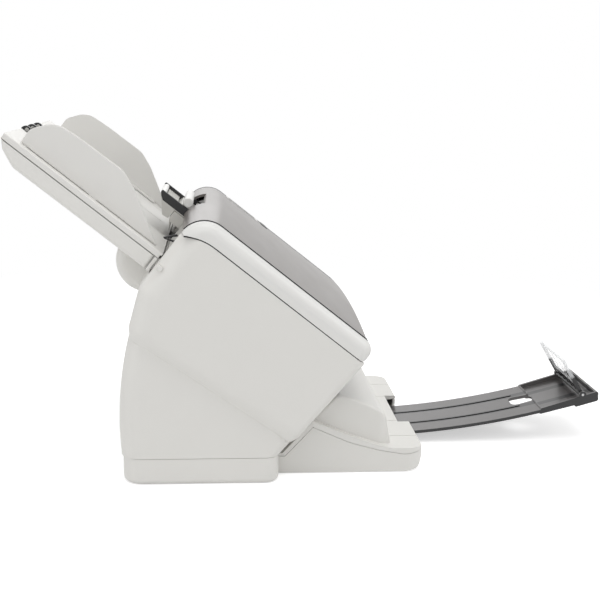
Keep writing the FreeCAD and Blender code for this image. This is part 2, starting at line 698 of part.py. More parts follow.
def lid_frame():
    body = both(lid_blank())
    u, v = LID_BACK_U, LID_BACK_V
    c45 = math.sqrt(0.5)
    r = LID_BACK_R - (LID_TOP - LID_FLOOR)
    front = PANEL_FRONT - PANEL_SEAM
    ring = [line_in((front, 70), (front, LID_FLOOR)), line_in((front, LID_FLOOR), (u, LID_FLOOR)),
            arc_in((u, LID_FLOOR), (u + r * c45, v + r * c45), (u + r, v)),
            line_in((u + r, v), (u + r, 20)), line_in((u + r, 20), (20, 20)),
            line_in((20, 20), (20, 70)), line_in((20, 70), (front, 70))]
    half = PANEL_HALF + PANEL_SEAM
    recess = Part.Face(Part.Wire(ring)).extrude(Vector(2 * half, 0, 0))
    recess.translate(Vector(-half, 0, 0))
    r2 = r - LID_FLOOR_THICK
    top = LID_FLOOR - LID_FLOOR_THICK
    front2 = HINGE_U + 6
    ring = [line_in((front2, 10), (front2, top)), line_in((front2, top), (u, top)),
            arc_in((u, top), (u + r2 * c45, v + r2 * c45), (u + r2, v)),
            line_in((u + r2, v), (u + r2, 10)), line_in((u + r2, 10), (front2, 10))]
    half = HEAD_HALF - LID_SIDE
    hollow = Part.Face(Part.Wire(ring)).extrude(Vector(2 * half, 0, 0))
    hollow.translate(Vector(-half, 0, 0))
    body = cut(body, [recess, hollow])
    lugs = []
    for x in (-40.8, 40.8):
        lug = block(x - 1.8, x + 1.8, LEVER_U - 5, LEVER_U + 4, LEVER_V - 4, top + 0.5)
        lugs.append(lug)
    body = join([body] + lugs)
    tools = [recess, block(-NOTCH_HALF, NOTCH_HALF, NOTCH_U, 20, 10, 70)]
    tools.append(block(-NOTCH_HALF + 1, NOTCH_HALF - 1, NOTCH_U - 5, 20, 10, 42))
    tools.append(rod(-60, 60, LEVER_U, LEVER_V, LEVER_PIN_R + BORE_PLAY))
    for side in (-1, 1):
        x0 = min(side * (EAR_X0 - GAP), side * (EAR_X1 + GAP))
        x1 = max(side * (EAR_X0 - GAP), side * (EAR_X1 + GAP))
        tools.append(block(x0, x1, HINGE_U - 3.2, HINGE_U + 6.5, 20, HINGE_V + 4))
        tools.append(block(x0, x1, HINGE_U - 8, HINGE_U, 20, HINGE_V + 1.9))
        x0 = min(side * (EAR_X0 - 6.2), side * (EAR_X1 + 6.2))
        long = EAR_X1 - EAR_X0 + 12.4
        tools.append(rod(x0, x0 + long, HINGE_U, HINGE_V, HINGE_PIN_R + BORE_PLAY))
    return tilted(cut(body, tools))


def hinge_pins():
    pin = rod(EAR_X0 - 6, EAR_X1 + 6, HINGE_U, HINGE_V, HINGE_PIN_R)
    return tilted(Part.Compound([pin, mirrored(pin)]))


def crown(x):
    return PANEL_CROWN * (1 - (x / PANEL_HALF) ** 2)


def panel_section(x, inset):
    """Closed section of the top panel at one X, higher towards the middle."""
    share = crown(x) / PANEL_CROWN
    top = LID_TOP + crown(x) - inset
    u = LID_BACK_U - 0.5 * share
    v = LID_BACK_V + 1.5 * share
    r = LID_BACK_R + 3 * share - inset
    nose = 2.4 + 2.1 * share - inset / 2
    c = math.sqrt(0.5)
    f = PANEL_FRONT + inset
    edges = [line_in((f, v), (f, top - nose)),
             arc_in((f, top - nose), (f + nose - nose * c, top - nose + nose * c), (f + nose, top)),
             line_in((f + nose, top), (u, top)),
             arc_in((u, top), (u + r * c, v + r * c), (u + r, v)),
             line_in((u + r, v), (f, v))]
    wire = Part.Wire(edges)
    wire.translate(Vector(x, 0, 0))
    return wire


def panel_pocket():
    """Room below the panel: down to one gap above the lid frame, and hollowed in the middle."""
    u, v = LID_BACK_U, LID_BACK_V
    low = LID_FLOOR + GAP
    r = low - v
    c = math.sqrt(0.5)
    f = PANEL_FRONT - 1
    edges = [line_in((f, 0), (f, low)), line_in((f, low), (u, low)),
             arc_in((u, low), (u + r * c, v + r * c), (u + r, v)),
             line_in((u + r, v), (u + r, 0)), line_in((u + r, 0), (f, 0))]
    under = Part.Face(Part.Wire(edges)).extrude(Vector(2 * PANEL_HALF + 2, 0, 0))
    under.translate(Vector(-PANEL_HALF - 1, 0, 0))
    wide = PANEL_HALF - 29
    hollow = Part.makeLoft([panel_section(x, PANEL_THICK) for x in (-wide, 0, wide)], True, False)
    return [under, hollow]


def smoke_panel():
    sections = [panel_section(x, 0) for x in (-PANEL_HALF, 0, PANEL_HALF)]
    body = Part.makeLoft(sections, True, False).cut(panel_pocket())
    tools = [block(-NOTCH_HALF, NOTCH_HALF, NOTCH_U, 20, 10, 70)]
    x0, x1, u0, u1 = DISPLAY
    tools.append(block(x0 - GAP, x1 + GAP, u0 - GAP, u1 + GAP, 40, 70))
    for x in (START_X, STOP_X):
        tools.append(post(x, BUTTON_U, 40, 70, BUTTON_R + GAP))
    return tilted(cut(body, tools))


def display_body(rise, grow, low):
    x0, x1, u0, u1 = DISPLAY
    z0 = LID_TOP + crown(x0) + rise
    z1 = LID_TOP + crown(x1) + rise
    a, b = x0 - grow, x1 + grow
    points = [Vector(a, 0, low), Vector(b, 0, low), Vector(b, 0, z1), Vector(a, 0, z0)]
    face = Part.Face(Part.makePolygon(points + [points[0]]))
    face.translate(Vector(0, u0 - grow, 0))
    return face.extrude(Vector(0, u1 - u0 + 2 * grow, 0))


def display_bezel():
    frame = display_body(0.6, 0, LID_FLOOR + GAP)
    pocket = display_body(3, -3.2, LID_FLOOR + 1.8)
    return tilted(frame.cut(pocket))


def display_window():
    pane = display_body(0.2, -3.5, LID_FLOOR + 2.1)
    return tilted(pane)


def button(x):
    top = LID_TOP + crown(x) + 0.9
    low = LID_FLOOR + BUTTON_TRAVEL + GAP
    cap = post(x, BUTTON_U, low, top, BUTTON_R)
    cap = cap.makeFillet(0.8, edges_where(cap, lambda b, m: b.ZMin > top - 0.01))
    flange = post(x, BUTTON_U, low, low + 0.4, BUTTON_R)
    return tilted(join([cap, flange]))


def under_lid():
    """Space left to the inner tub below the lid frame, one gap away from it."""
    u, v = LID_BACK_U, LID_BACK_V
    top = LID_FLOOR - LID_FLOOR_THICK - GAP
    r = top - v
    front = HINGE_U + 6 + GAP
    low = LID_LOW - 0.5
    c = math.sqrt(0.5)
    edges = [line_in((-203, 0), (-203, low)), line_in((-203, low), (front, low)),
             line_in((front, low), (front, top)), line_in((front, top), (u, top)),
             arc_in((u, top), (u + r * c, v + r * c), (u + r, v)),
             line_in((u + r, v), (-9, 26)), line_in((-9, 26), (-9, 0)), line_in((-9, 0), (-203, 0))]
    region = Part.Face(Part.Wire(edges)).extrude(Vector(300, 0, 0))
    region.translate(Vector(-150, 0, 0))
    return region


def upper_housing():
    low = PAPER_GAP
    high = low + 2
    top = LID_FLOOR - LID_FLOOR_THICK - GAP
    wall = block(119, 121.5, -198.5, -12, low, top)
    base = block(-121.5, 121.5, -198.5, -12, low, high)
    apron = block(-126.6, 126.6, -201, -198.4, 5, 34)
    tie = block(-121.5, 121.5, -199, -190, 5, 7.5)
    rear = block(-121.5, 121.5, -12, -9.5, low + 6, 26)
    shelf = block(-121.5, 121.5, -14.5, -9.5, low, low + 7)
    cross = [block(-121.5, 121.5, u - 1, u + 1, low, top - 10) for u in (-140, -78)]
    parts = [base, wall, mirrored(wall), apron, tie, rear, shelf] + cross
    for u in (FEED_AT[0], EJECT_AT[0]):
        for x in (-97, -3, 3, 97):
            parts.append(block(x - 1.5, x + 1.5, u - 4, u + 4, low, PINCH_V + 4))
    body = join(parts).common(under_lid())
    tools = [block(-38.5, 38.5, -35, 0, 0, 40), block(-106.3, 106.3, -112.3, -97.7, 0, high + 1)]
    for u in (FEED_AT[0], EJECT_AT[0]):
        tools.append(rod(-99.4, 99.4, u, PINCH_V, PINCH_AXLE_R + BORE_PLAY))
        for x in TYRE_X:
            tools.append(block(x - 8, x + 8, u - 6, u + 6, 0, high + 1))
    for x in (-90, -45, 45, 90):
        tools.append(block(x - 12, x + 12, -142, -138, high + 8, top - 16))
    return tilted(cut(body, tools))


def separation_cover():
    side = [(-33, 5.5, 2), (-3, 5.5, 3), (4, 17, 3), (4, 24.9, 1), (-33, 24.9, 1)]
    crest = [(-33, 20, 1), (3.5, 20, 1), (4, 28, 1), (2, 33.4, 1.5), (-33, 33.4, 2)]
    body = join([prism(side, -CHEEK_OUT, CHEEK_OUT), prism(crest, -CHEEK_IN + 0.6, CHEEK_IN - 0.6)])
    inner = [(-31, 4, 1), (-4.4, 4, 1), (1.8, 17.5, 2), (1.8, 22.9, 1), (-31, 22.9, 1)]
    body = body.cut(prism(inner, -CHEEK_OUT + 2, CHEEK_OUT - 2))
    webs = [block(x - 1.5, x + 1.5, -30, -8, 8, 23) for x in (-23.5, 23.5)]
    body = join([body] + webs)
    open_side = block(27, CHEEK_OUT + 1, -34, 5, 0, 14.2)
    bore = rod(-25.4, 25.4, *SEPARATE_AT, 2 + BORE_PLAY)
    return tilted(cut(body, [open_side, mirrored(open_side), bore]))


def lever_cheeks():
    """Two side plates joined by a tie rod and by a web below the nose."""
    outer = [(-6, 25.4, 1), (4.6, 25.4, 0.6), (4.6, 15.8, 1), (11.2, 15, 2), (25.6, 32.4, 1.5),
             (24.4, CHEEK_TOP, 0.5), (-5.2, CHEEK_TOP, 1), (-8, 37.8, 1), (-17, 39.2, 4),
             (-22, 34, 4), (-17, 28.6, 4), (-10, 28.6, 1)]
    cheek = prism(outer, CHEEK_IN, CHEEK_OUT)
    tie = rod(-CHEEK_IN - 1, CHEEK_IN + 1, -13.6, 35.6, 1.6)
    web = prism([(14.4, 20.2, 0.4), (20.2, 27.2, 0.4), (18.7, 28.3, 0.4), (12.9, 21.4, 0.4)],
                -CHEEK_IN - 1, CHEEK_IN + 1)
    body = join([cheek, mirrored(cheek), tie, web])
    return tilted(cut(body, [rod(-60, 60, LEVER_U, LEVER_V, LEVER_PIN_R + BORE_PLAY)]))


def lever_pin():
    stub = rod(CHEEK_IN + GAP, 42.6, LEVER_U, LEVER_V, LEVER_PIN_R)
    return tilted(Part.Compound([stub, mirrored(stub)]))


def lever_bars():
    """Two light cross bars: the nose to pull, between the cheeks, and the cap on top of them."""
    nose = rod(-CHEEK_IN + GAP, CHEEK_IN - GAP, *NOSE_AT, NOSE_R)
    cap = rod(-CHEEK_OUT, CHEEK_OUT, CAP_U, CHEEK_TOP + GAP + CAP_R, CAP_R)
    cap = cap.makeFillet(1, edges_where(cap, lambda b, m: b.XLength < 0.01))
    return tilted(Part.Compound([nose, cap]))


def lever_grip():
    """Ribbed thumb rest, sunk between the cheeks."""
    top = CHEEK_TOP - 3
    rest = [(5.2, top - 3, 1), (17.2, top - 3, 0.5), (18.6, top, 0.5), (5.2, top, 0.5)]
    half = CHEEK_IN - GAP
    grooves = [block(x - 1, x + 1, 0, 30, top - 1, top + 1) for x in range(-30, 31, 6)]
    return tilted(cut(prism(rest, -half, half), grooves))


def hopper_plate():
    half = HOPPER_HALF
    deck = block(-half, half, -7, HOPPER_END, -HOPPER_THICK, 0)
    deck = deck.makeFillet(1.2, edges_where(deck, lambda b, m: b.YLength > 100 and m.z > -0.1))
    skirt = block(half - 2.2, half, -5.6, HOPPER_END, HOPPER_SEAM, -1.4)
    lip = join([block(-GUIDE_IN, GUIDE_IN, -5.6, -3.4, HOPPER_LOW, -1),
                block(half - 2.2, half, -5.6, -2.4, HOPPER_LOW, -1.4),
                block(-half, 2.2 - half, -5.6, -2.4, HOPPER_LOW, -1.4)])
    end = block(-half, half, HOPPER_END - 2.2, HOPPER_END, HOPPER_SEAM, -1)
    stud = post(0, RACK_U, RACK_LOW - GAP, -1, 2)
    body = join([deck, skirt, mirrored(skirt), lip, end, stud])
    tools = [block(-SLIDE_HALF - 1.5, SLIDE_HALF + 1.5, SLIDE_END - 1, HOPPER_END + 10, -30, 10)]
    inner = GUIDE_IN - GUIDE_TRAVEL - 0.5
    outer = GUIDE_IN + GUIDE_THICK + 0.5
    tools.append(block(inner, outer, RACK_U - 4.3, RACK_U + 4.3, -5, 1))
    tools.append(block(-outer, -inner, RACK_U - 4.3, RACK_U + 4.3, -5, 1))
    for x in (-95, -33, 33, 95):
        tools.append(block(x - 0.5, x + 0.5, 4, 40, -0.5, 1))
    return tilted(cut(body, tools))


def hopper_shell():
    low, seam = HOPPER_LOW, HOPPER_SEAM - 0.4
    outer = [(-2, low, 2), (138, low, 12), (154, -12.6, 6), (HOPPER_END, seam, 0), (-2, seam, 0)]
    inner = [(0.2, low + 2.2, 1), (138, low + 2.2, 10), (152, -11.8, 5), (HOPPER_END - 2.4, seam, 0),
             (HOPPER_END - 2.4, 0, 0), (0.2, 0, 0)]
    body = prism(outer, -HOPPER_HALF, HOPPER_HALF)
    sides = edges_where(body, lambda b, m: abs(abs(m.x) - HOPPER_HALF) < 1e-6 and m.z < seam - 1
                        and m.y > 0)
    body = body.makeFillet(3, sides)
    body = body.cut(prism(inner, -HOPPER_HALF + 2.4, HOPPER_HALF - 2.4))
    arm = prism([(HOPPER_U - 6, HOPPER_V, 5.9), (HOPPER_U, HOPPER_V - 6, 2), (-2, -19.6, 1),
                 (10, -19.6, 0), (10, -6.4, 1), (-5, -6.4, 1), (HOPPER_U, HOPPER_V + 6, 5.9)],
                ARM_X0, ARM_X1)
    arm = join([arm, rod(ARM_X0, ARM_X1, HOPPER_U, HOPPER_V, 6)])
    rails = [block(SLIDE_HALF + 0.4, SLIDE_HALF + 2.4, 4, 148, low + 1,
                   SLIDE_LOW + SLIDE_THICK)]
    rails.append(block(28, 32, 4, 148, low + 1, SLIDE_LOW - GAP))
    parts = [body, arm, mirrored(arm)] + rails + [mirrored(r) for r in rails]
    body = join(parts)
    open_u = HOPPER_END + 10
    tools = [block(-SLIDE_HALF - 1.5, SLIDE_HALF + 1.5, SLIDE_END - 1, open_u, -30, 10)]
    tools.append(block(-SLIDE_HALF - 0.4, SLIDE_HALF + 0.4, 138, open_u, SLIDE_LOW - GAP, 0))
    tools.append(rod(-140, 140, HOPPER_U, HOPPER_V, HOPPER_PIN_R + BORE_PLAY))
    return tilted(cut(body, tools))


def hopper_pins():
    pin = rod(ARM_X0 + 0.2, HEAD_HALF - 14, HOPPER_U, HOPPER_V, HOPPER_PIN_R)
    return tilted(Part.Compound([pin, mirrored(pin)]))


def rack():
    """Rack bar of the right guide; its teeth face the pinion from the -Y side."""
    line = RACK_U - MODULE * RACK_TEETH / 2
    tooth = math.pi * MODULE
    root = line - 1.3
    tip = line + 0.9
    low = RACK_LOW
    bar = block(-10, GUIDE_IN + GUIDE_THICK, root - 2.45, root + 0.05, low, low + RACK_THICK)
    shapes = [bar]
    for i in range(-2, int((GUIDE_TRAVEL + 20) / tooth)):
        x = (i + 0.5) * tooth
        points = [Vector(x - 0.30 * tooth, root, low), Vector(x + 0.30 * tooth, root, low),
                  Vector(x + 0.10 * tooth, tip, low), Vector(x - 0.10 * tooth, tip, low)]
        face = Part.Face(Part.makePolygon(points + [points[0]]))
        shapes.append(face.extrude(Vector(0, 0, RACK_THICK)))
    return shapes


def guide(side):
    """Sliding document guide; side is +1 for the one at +X, whose rack lies ahead of the pinion."""
    leaf = [(0.5, 0.5, 0.5), (12, 7.5, 30), (46, 28, 30), (63, 34.8, 20), (108, 34, 60),
            (133, 32, 22), (146.3, 14, 10), (146, 0.5, 1)]
    x0 = GUIDE_IN
    x1 = GUIDE_IN + GUIDE_THICK
    plate = prism(leaf, x0, x1)
    rim = edges_where(plate, lambda b, m: at_side(b, x1) and m.z > 0.6)
    plate = plate.makeFillet(1.0, rim)
    foot = block(x0 - 9, x1, 20, 140, 0.5, 2)
    stem = block(x0, x1, RACK_U - 4, RACK_U + 4, RACK_LOW, 1)
    line = RACK_U - MODULE * RACK_TEETH / 2
    link = block(x0, x1, line - 3.7, RACK_U + 4, RACK_LOW, RACK_LOW + RACK_THICK)
    upper = join([plate, foot, stem])
    lower = join([link] + rack())
    if side < 0:
        upper = mirrored(upper)
        lower.rotate(Vector(0, RACK_U, 0), Vector(0, 0, 1), 180)
    return tilted(join([upper, lower]))


def guide_pinion():
    gear = wheel(MODULE, RACK_TEETH, 0, RACK_THICK, 0, 0, 0, 0)
    gear.rotate(Vector(0, 0, 0), Vector(0, 1, 0), -90)
    gear.rotate(Vector(0, 0, 0), Vector(0, 0, 1), 90)
    gear.translate(Vector(0, RACK_U, RACK_LOW))
    return tilted(gear.cut(post(0, RACK_U, -30, 10, 2 + BORE_PLAY)))


def hopper_extension():
    high = SLIDE_LOW + SLIDE_THICK
    leaf = block(-SLIDE_HALF, SLIDE_HALF, SLIDE_TAIL, SLIDE_END, SLIDE_LOW, high)
    slots = [block(x - 1, x + 1, 30, 135, high - 0.2, high + 3) for x in (-24, 0, 24)]
    return tilted(cut(leaf, slots))


def extension_grip():
    """End bar of the slide with three ring-shaped finger grips on it."""
    half = SLIDE_HALF - 1
    u = SLIDE_END + GAP
    bar = prism([(u, -16, 1), (u + 5.7, -16, 2), (u + 8.7, -6, 3), (u + 8.7, -1, 1), (u, -1, 1)],
                -half, half)
    rings = [rod(x - 2.2, x + 2.2, u + 4.2, -1.5, 5) for x in (-32, 0, 32)]
    eyes = [rod(x - 5, x + 5, u + 4.2, 0.2, 1.9) for x in (-32, 0, 32)]
    return tilted(cut(join([bar] + rings), eyes))


def arc_slab(r0, r1, x0, x1, y0, y1):
    """Piece between two concentric circles of the curved strip, seen from the side."""
    zc = ARC_TOP + ARC_R

    def on(r, y):
        return (y, zc - math.sqrt(r ** 2 - (y - ARC_Y) ** 2))
    mid = (y0 + y1) / 2
    edges = [arc_in(on(r0, y0), on(r0, mid), on(r0, y1)), line_in(on(r0, y1), on(r1, y1)),
             arc_in(on(r1, y1), on(r1, mid), on(r1, y0)), line_in(on(r1, y0), on(r0, y0))]
    body = Part.Face(Part.Wire(edges)).extrude(Vector(x1 - x0, 0, 0))
    body.translate(Vector(x0, 0, 0))
    return body


def tray_bounds(inset, z1):
    x = TRAY_HALF - inset
    r = 14 - inset
    front = -203.6 + inset
    return upright([(-x, front, r), (-x, -60, 0), (x, -60, 0), (x, front, r)], -1, z1)


def tray_lower_shell():
    rear = PLINTH_FRONT - GAP
    outer = [(rear, 0.6, 2), (rear, 16.4, 0.6), (-77, 16.4, 1.5), (-102, 43.4, 1),
             (-135.8, 28.3, 80), (-163.3, 20.7, 40), (-186.3, 16.7, 12), (-203.6, 19.2, 1),
             (-203.4, 13, 8), (-199.5, 3.4, 6), (-187, 0.6, 8)]
    body = prism(outer, -TRAY_HALF, TRAY_HALF).common(tray_bounds(0, 60))
    t = TRAY_WALL
    inner = [(rear - t, 0.6 + t, 1), (rear - t, 14.2, 0.6), (-78.2, 14.2, 1), (-104.4, 42.4, 0),
             (-104.4, 60, 0), (-201.2, 60, 0), (-201.2, 13, 6), (-198, 5.2, 4),
             (-187, 0.6 + t, 6)]
    body = body.cut(prism(inner, -TRAY_HALF + t, TRAY_HALF - t).common(tray_bounds(t, 70)))
    rails = [arc_slab(ARC_R + STRIP_THICK + GAP, ARC_R + STRIP_THICK + 5.5, x, x + 4, -190, -84)
             for x in (-34, 30)]
    walls = [block(x, x + 2, -196, -84, 1.5, 15) for x in (-46.4, 44.4)]
    tabs = [block(x - 12, x + 12, -76, PLINTH_FRONT + 1.8, 7.7, 12.3) for x in (-60, 60)]
    body = join([body] + rails + walls + tabs)
    x0, x1, y0, y1 = NOTCH
    tools = [block(x0, x1, y0, y1, 12.6, 40)]
    tools.append(arc_slab(ARC_R - 0.6, ARC_R + STRIP_THICK + 0.4, -STRIP_HALF - 0.4,
                          STRIP_HALF + 0.4, -210, -190))
    tools.append(block(-STRIP_HALF - 0.4, STRIP_HALF + 0.4, -210, -191, 10, 30))
    for x in (-80, 80):
        tools.append(block(x - 12.3, x + 12.3, -173.3, -155.7, -1, 1.4))
    return cut(body, tools)


def tray_feet():
    return Part.Compound([block(x - 12, x + 12, -173, -156, 0, 1.2) for x in (-80, 80)])


def tray_top_shell():
    low = [(-102, 43.8, 0), (-135.8, 28.7, 80), (-163.3, 21.1, 40), (-186.3, 17.1, 12),
           (-203.6, 19.6, 0)]
    high = [(-203.6, 22.7, 1.5), (-174, 22.9, 20), (-161.3, 26.1, 30), (-135.6, 35, 80),
            (-105.5, 47.7, 30), (-102.3, 49.5, 0)]
    ledge = prism(low + high, -TRAY_HALF, TRAY_HALF).common(tray_bounds(0, 80))
    hump_line = [(-125.2, 71.9, 5), (-150, 64, 60), (-168.5, 54.5, 16), (-175.4, 20, 0),
                 (-97, 20, 0), (-98.6, 46.6, 0)]
    t = TRAY_WALL
    inner_line = [(-125.4, 69.4, 3), (-149.2, 61.9, 58), (-166.6, 53, 14), (-173.1, 18, 0),
                  (-101, 18, 0), (-101.8, 46.8, 0)]
    plan = [(-112, -176.5, 15), (-112, -60, 0), (112, -60, 0), (112, -176.5, 15)]
    plan_in = [(-112 + t, -176.5 + t, 13), (-112 + t, -60, 0), (112 - t, -60, 0),
               (112 - t, -176.5 + t, 13)]
    hump = prism(hump_line, -112, 112).common(upright(plan, 0, 90))
    hollow = prism(inner_line, -112, 112).common(upright(plan_in, 0, 90))
    below = [(-60, 0, 0), (-60, 43.7, 0)] + low + [(-230, 19.6, 0), (-230, 0, 0)]
    cavity = prism(below, -150, 150)
    side = edges_where(hump, lambda b, m: abs(abs(m.x) - 112) < 1e-6 and m.z > 55)
    hump = hump.makeFillet(3, side)
    rear = PLINTH_FRONT - 2 * GAP
    flank = prism([(rear, 16.9, 0.4), (-76.9, 16.9, 1.2), (-103.2, 45.2, 0), (-103.2, 48.8, 0),
                   (-102.1, 49.3, 0), (-74.4, 19.4, 1.5), (rear, 19.4, 0.5)],
                  -TRAY_HALF, TRAY_HALF)
    body = join([cut(join([ledge, hump]), [hollow, cavity]), flank])
    x0, x1, y0, y1 = NOTCH
    tools = [block(x0, x1, y0, y1, 10, 40)]
    for x in (-85, -40, 40, 85):
        tools.append(block(x - 0.5, x + 0.5, -202, -177, 22.1, 30))
    return keep_largest(cut(body, tools))


def tray_extension():
    strip = arc_slab(ARC_R, ARC_R + STRIP_THICK, -STRIP_HALF, STRIP_HALF, STRIP_OUT - 6, STRIP_IN)
    lugs = arc_slab(ARC_R + 0.4, ARC_R + STRIP_THICK - 0.4, -STRIP_HALF - 2.6, STRIP_HALF + 2.6,
                    STRIP_IN - 4, STRIP_IN)
    shelf = [(-332, 28.2, 1), (-334.6, 33.8, 1), (-390.2, 50.6, 1.5), (-390.4, 41, 2),
             (-368.6, 34.8, 1), (-367, 36.4, 1), (-334.5, 28.2, 1)]
    tail = prism(shelf, -STRIP_HALF, STRIP_HALF)
    s = math.radians(END_SLOPE)

    def along(d, rise):
        y = FLAP_Y + d * math.cos(s) + rise * math.sin(s)
        z = FLAP_Z - d * math.sin(s) + rise * math.cos(s)
        return (y, z)
    far = along(-12.4, -6.2)
    well = [along(-12.4, 20) + (0,), far + (1,), along(FLAP_TALL + 1.6, -4.6) + (1,),
            along(FLAP_TALL + 1.6, 20) + (0,)]
    inside = STRIP_HALF - 2.6
    tail = tail.cut(prism(well, -inside, inside))
    ears = [rod(x, x + 2.4, FLAP_Y, FLAP_Z, 3.4) for x in (-STRIP_HALF, STRIP_HALF - 2.4)]
    body = join([strip, lugs, tail] + ears)
    tools = [rod(-STRIP_HALF - 1, STRIP_HALF + 1, FLAP_Y, FLAP_Z, FLAP_PIN_R + BORE_PLAY)]
    for x in (-17, 17):
        tools.append(arc_slab(ARC_R - 1, ARC_R + 1.6, x - 1.6, x + 1.6, STRIP_OUT + 8, STRIP_IN - 10))
    hole = upright([(-9, -338, 5), (9, -338, 5), (12, -314, 6), (-12, -314, 6)], 10, 60)
    tools.append(hole)
    return cut(body, tools)


def flap(shape):
    copy = turned(shape, 0, 0, FLAP_REST)
    copy.translate(Vector(0, FLAP_Y, FLAP_Z))
    return copy


def stopper_frame():
    half = FLAP_HALF
    barrel = rod(-half, half, 0, 0, 2.6)
    arm = block(half - 3, half, 0, FLAP_TALL, -1.75, 1.75)
    bars = [block(-half, half, d, d + 1.6, -1.2, 1.2) for d in (5.5, 10, FLAP_TALL - 1.6)]
    posts = [block(x - 0.8, x + 0.8, 0, 11, -1.2, 1.2) for x in (-24, -12, 0, 12, 24)]
    body = join([barrel, arm, mirrored(arm)] + bars + posts)
    return flap(cut(body, [rod(-half - 1, half + 1, 0, 0, FLAP_PIN_R + BORE_PLAY)]))


def stopper_plate():
    half = FLAP_HALF - 3 - GAP
    pane = block(-half, half, 11.9, FLAP_TALL - 1.9, -1, 1)
    ribs = [block(x - 0.6, x + 0.6, 13, FLAP_TALL - 4, 0.5, 1.6) for x in (-20, 0, 20)]
    return flap(join([pane] + ribs))


def stopper_pin():
    return rod(-STRIP_HALF + 0.2, STRIP_HALF - 0.2, FLAP_Y, FLAP_Z, FLAP_PIN_R)


nodes = {
    "base_plinth": base_plinth(),
    "rubber_feet": rubber_feet(),
    "case_screws": case_screws(),
    "side_cover_right": side_cover(1),
    "side_cover_left": side_cover(-1),
    "rear_cover": rear_cover(),
    "front_cover": front_cover(),
    "chassis_frame": chassis_frame(),
    "shaft_bushes": shaft_bushes(),
    "lower_guide": lower_guide(),
    "lower_glass": glass(-2),
    "lower_sensor": lower_sensor(),
    "main_board": main_board(),
    "dc_inlet": dc_inlet(),
    "usb_port": usb_port(),
    "drive_motor": drive_motor(),
    "motor_pinion": motor_pinion(),
    "idler_rear": idler(IDLER_REAR, PHASE_REAR),
    "idler_middle": idler(IDLER_MIDDLE, PHASE_MIDDLE),
    "idler_fore": idler(IDLER_FORE, PHASE_FORE),
    "pick_idler": pick_idler(),
    "feed_shaft": feed_shaft(),
    "feed_tyres": tyres(FEED_AT),
    "eject_shaft": eject_shaft(),
    "eject_tyres": tyres(EJECT_AT),
    "pick_shaft": pick_shaft(),
    "pick_roller": pick_roller(),
    "lid_frame": lid_frame(),
    "smoke_panel": smoke_panel(),
    "display_bezel": display_bezel(),
    "display_window": display_window(),
    "start_button": button(START_X),
    "stop_button": button(STOP_X),
    "upper_housing": upper_housing(),
    "upper_glass": glass(PAPER_GAP),
    "upper_sensor": upper_sensor(),
    "feed_pinch": pinch(FEED_AT),
    "eject_pinch": pinch(EJECT_AT),
    "hinge_pins": hinge_pins(),
    "separation_cover": separation_cover(),
    "separation_roller": separation_roller(),
    "lever_cheeks": lever_cheeks(),
    "lever_bars": lever_bars(),
    "lever_grip": lever_grip(),
    "lever_pin": lever_pin(),
    "hopper_plate": hopper_plate(),
    "hopper_shell": hopper_shell(),
    "hopper_pins": hopper_pins(),
    "guide_right": guide(1),
    "guide_left": guide(-1),
    "guide_pinion": guide_pinion(),
    "hopper_extension": hopper_extension(),
    "extension_grip": extension_grip(),
    "tray_lower_shell": tray_lower_shell(),
    "tray_top_shell": tray_top_shell(),
    "tray_feet": tray_feet(),
    "tray_extension": tray_extension(),
    "stopper_frame": stopper_frame(),
    "stopper_plate": stopper_plate(),
    "stopper_pin": stopper_pin(),
}

os.makedirs("parts", exist_ok=True)
for name, shape in nodes.items():
    if not shape.isValid():
        print("not valid:", name)
    if len(shape.Solids) != 1:
        print(name, "solids:", len(shape.Solids))
    shape.exportStep("parts/%s.step" % name)
print(len(nodes), "nodes")
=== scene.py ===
"""Looks of the sheet-fed scanner: materials, fine pieces, stage and camera."""

import math

import bmesh
import bpy
from bpy.props import FloatProperty, FloatVectorProperty, PointerProperty
from mathutils import Matrix, Vector


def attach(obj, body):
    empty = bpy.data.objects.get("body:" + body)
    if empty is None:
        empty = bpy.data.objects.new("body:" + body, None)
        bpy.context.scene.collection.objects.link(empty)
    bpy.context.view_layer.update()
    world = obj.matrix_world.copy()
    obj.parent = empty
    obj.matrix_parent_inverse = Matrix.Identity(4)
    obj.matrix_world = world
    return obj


bl_info = {
    "name": "Sheet-fed scanner looks",
    "version": (1, 0, 0),
    "blender": (4, 5, 0),
    "location": "View3D > Sidebar > Scanner",
    "description": "Dresses the packed scanner with materials, trim, a stage and a camera",
    "category": "Object",
}

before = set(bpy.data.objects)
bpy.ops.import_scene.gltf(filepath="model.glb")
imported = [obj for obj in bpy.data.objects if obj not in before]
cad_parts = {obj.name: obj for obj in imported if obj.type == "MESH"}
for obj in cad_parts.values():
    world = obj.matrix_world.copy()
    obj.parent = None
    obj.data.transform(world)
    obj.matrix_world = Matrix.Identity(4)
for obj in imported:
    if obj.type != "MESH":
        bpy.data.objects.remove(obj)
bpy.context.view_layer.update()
MM = 0.001

# The tilted frame of the paper path: y along the path, z normal to it, X unchanged.
SLOPE = math.radians(38.5)
PATH_ROOT = Vector((0.0, 35.4, 208.1)) * MM
PATH = Matrix.Translation(PATH_ROOT) @ Matrix.Rotation(SLOPE, 4, "X")
LID_TOP = 51.5 * MM
PANEL_HALF = 139.0 * MM
PANEL_FRONT = -193.0 * MM
HOPPER_HALF = 125.0 * MM
HOPPER_SEAM = -5.7 * MM
HOPPER_SIDE = HOPPER_HALF - 0.6 * MM
GUIDE_OUTER = 115.0

# The stopper's hinge, the lean of its frame at rest and how far from the hinge it is black.
STOPPER_HINGE = Vector((0.0, -375.0, 47.0)) * MM
STOPPER_REST = math.radians(59.3)
STOPPER_DARK = 19.0 * MM

# Finishes: share of brightness that dust takes, depth of the moulded texture, circuit tracks.
DUST = 0.03
GRAIN_DEPTH = 0.04 * MM
TRACKS_PER_METRE = 400.0

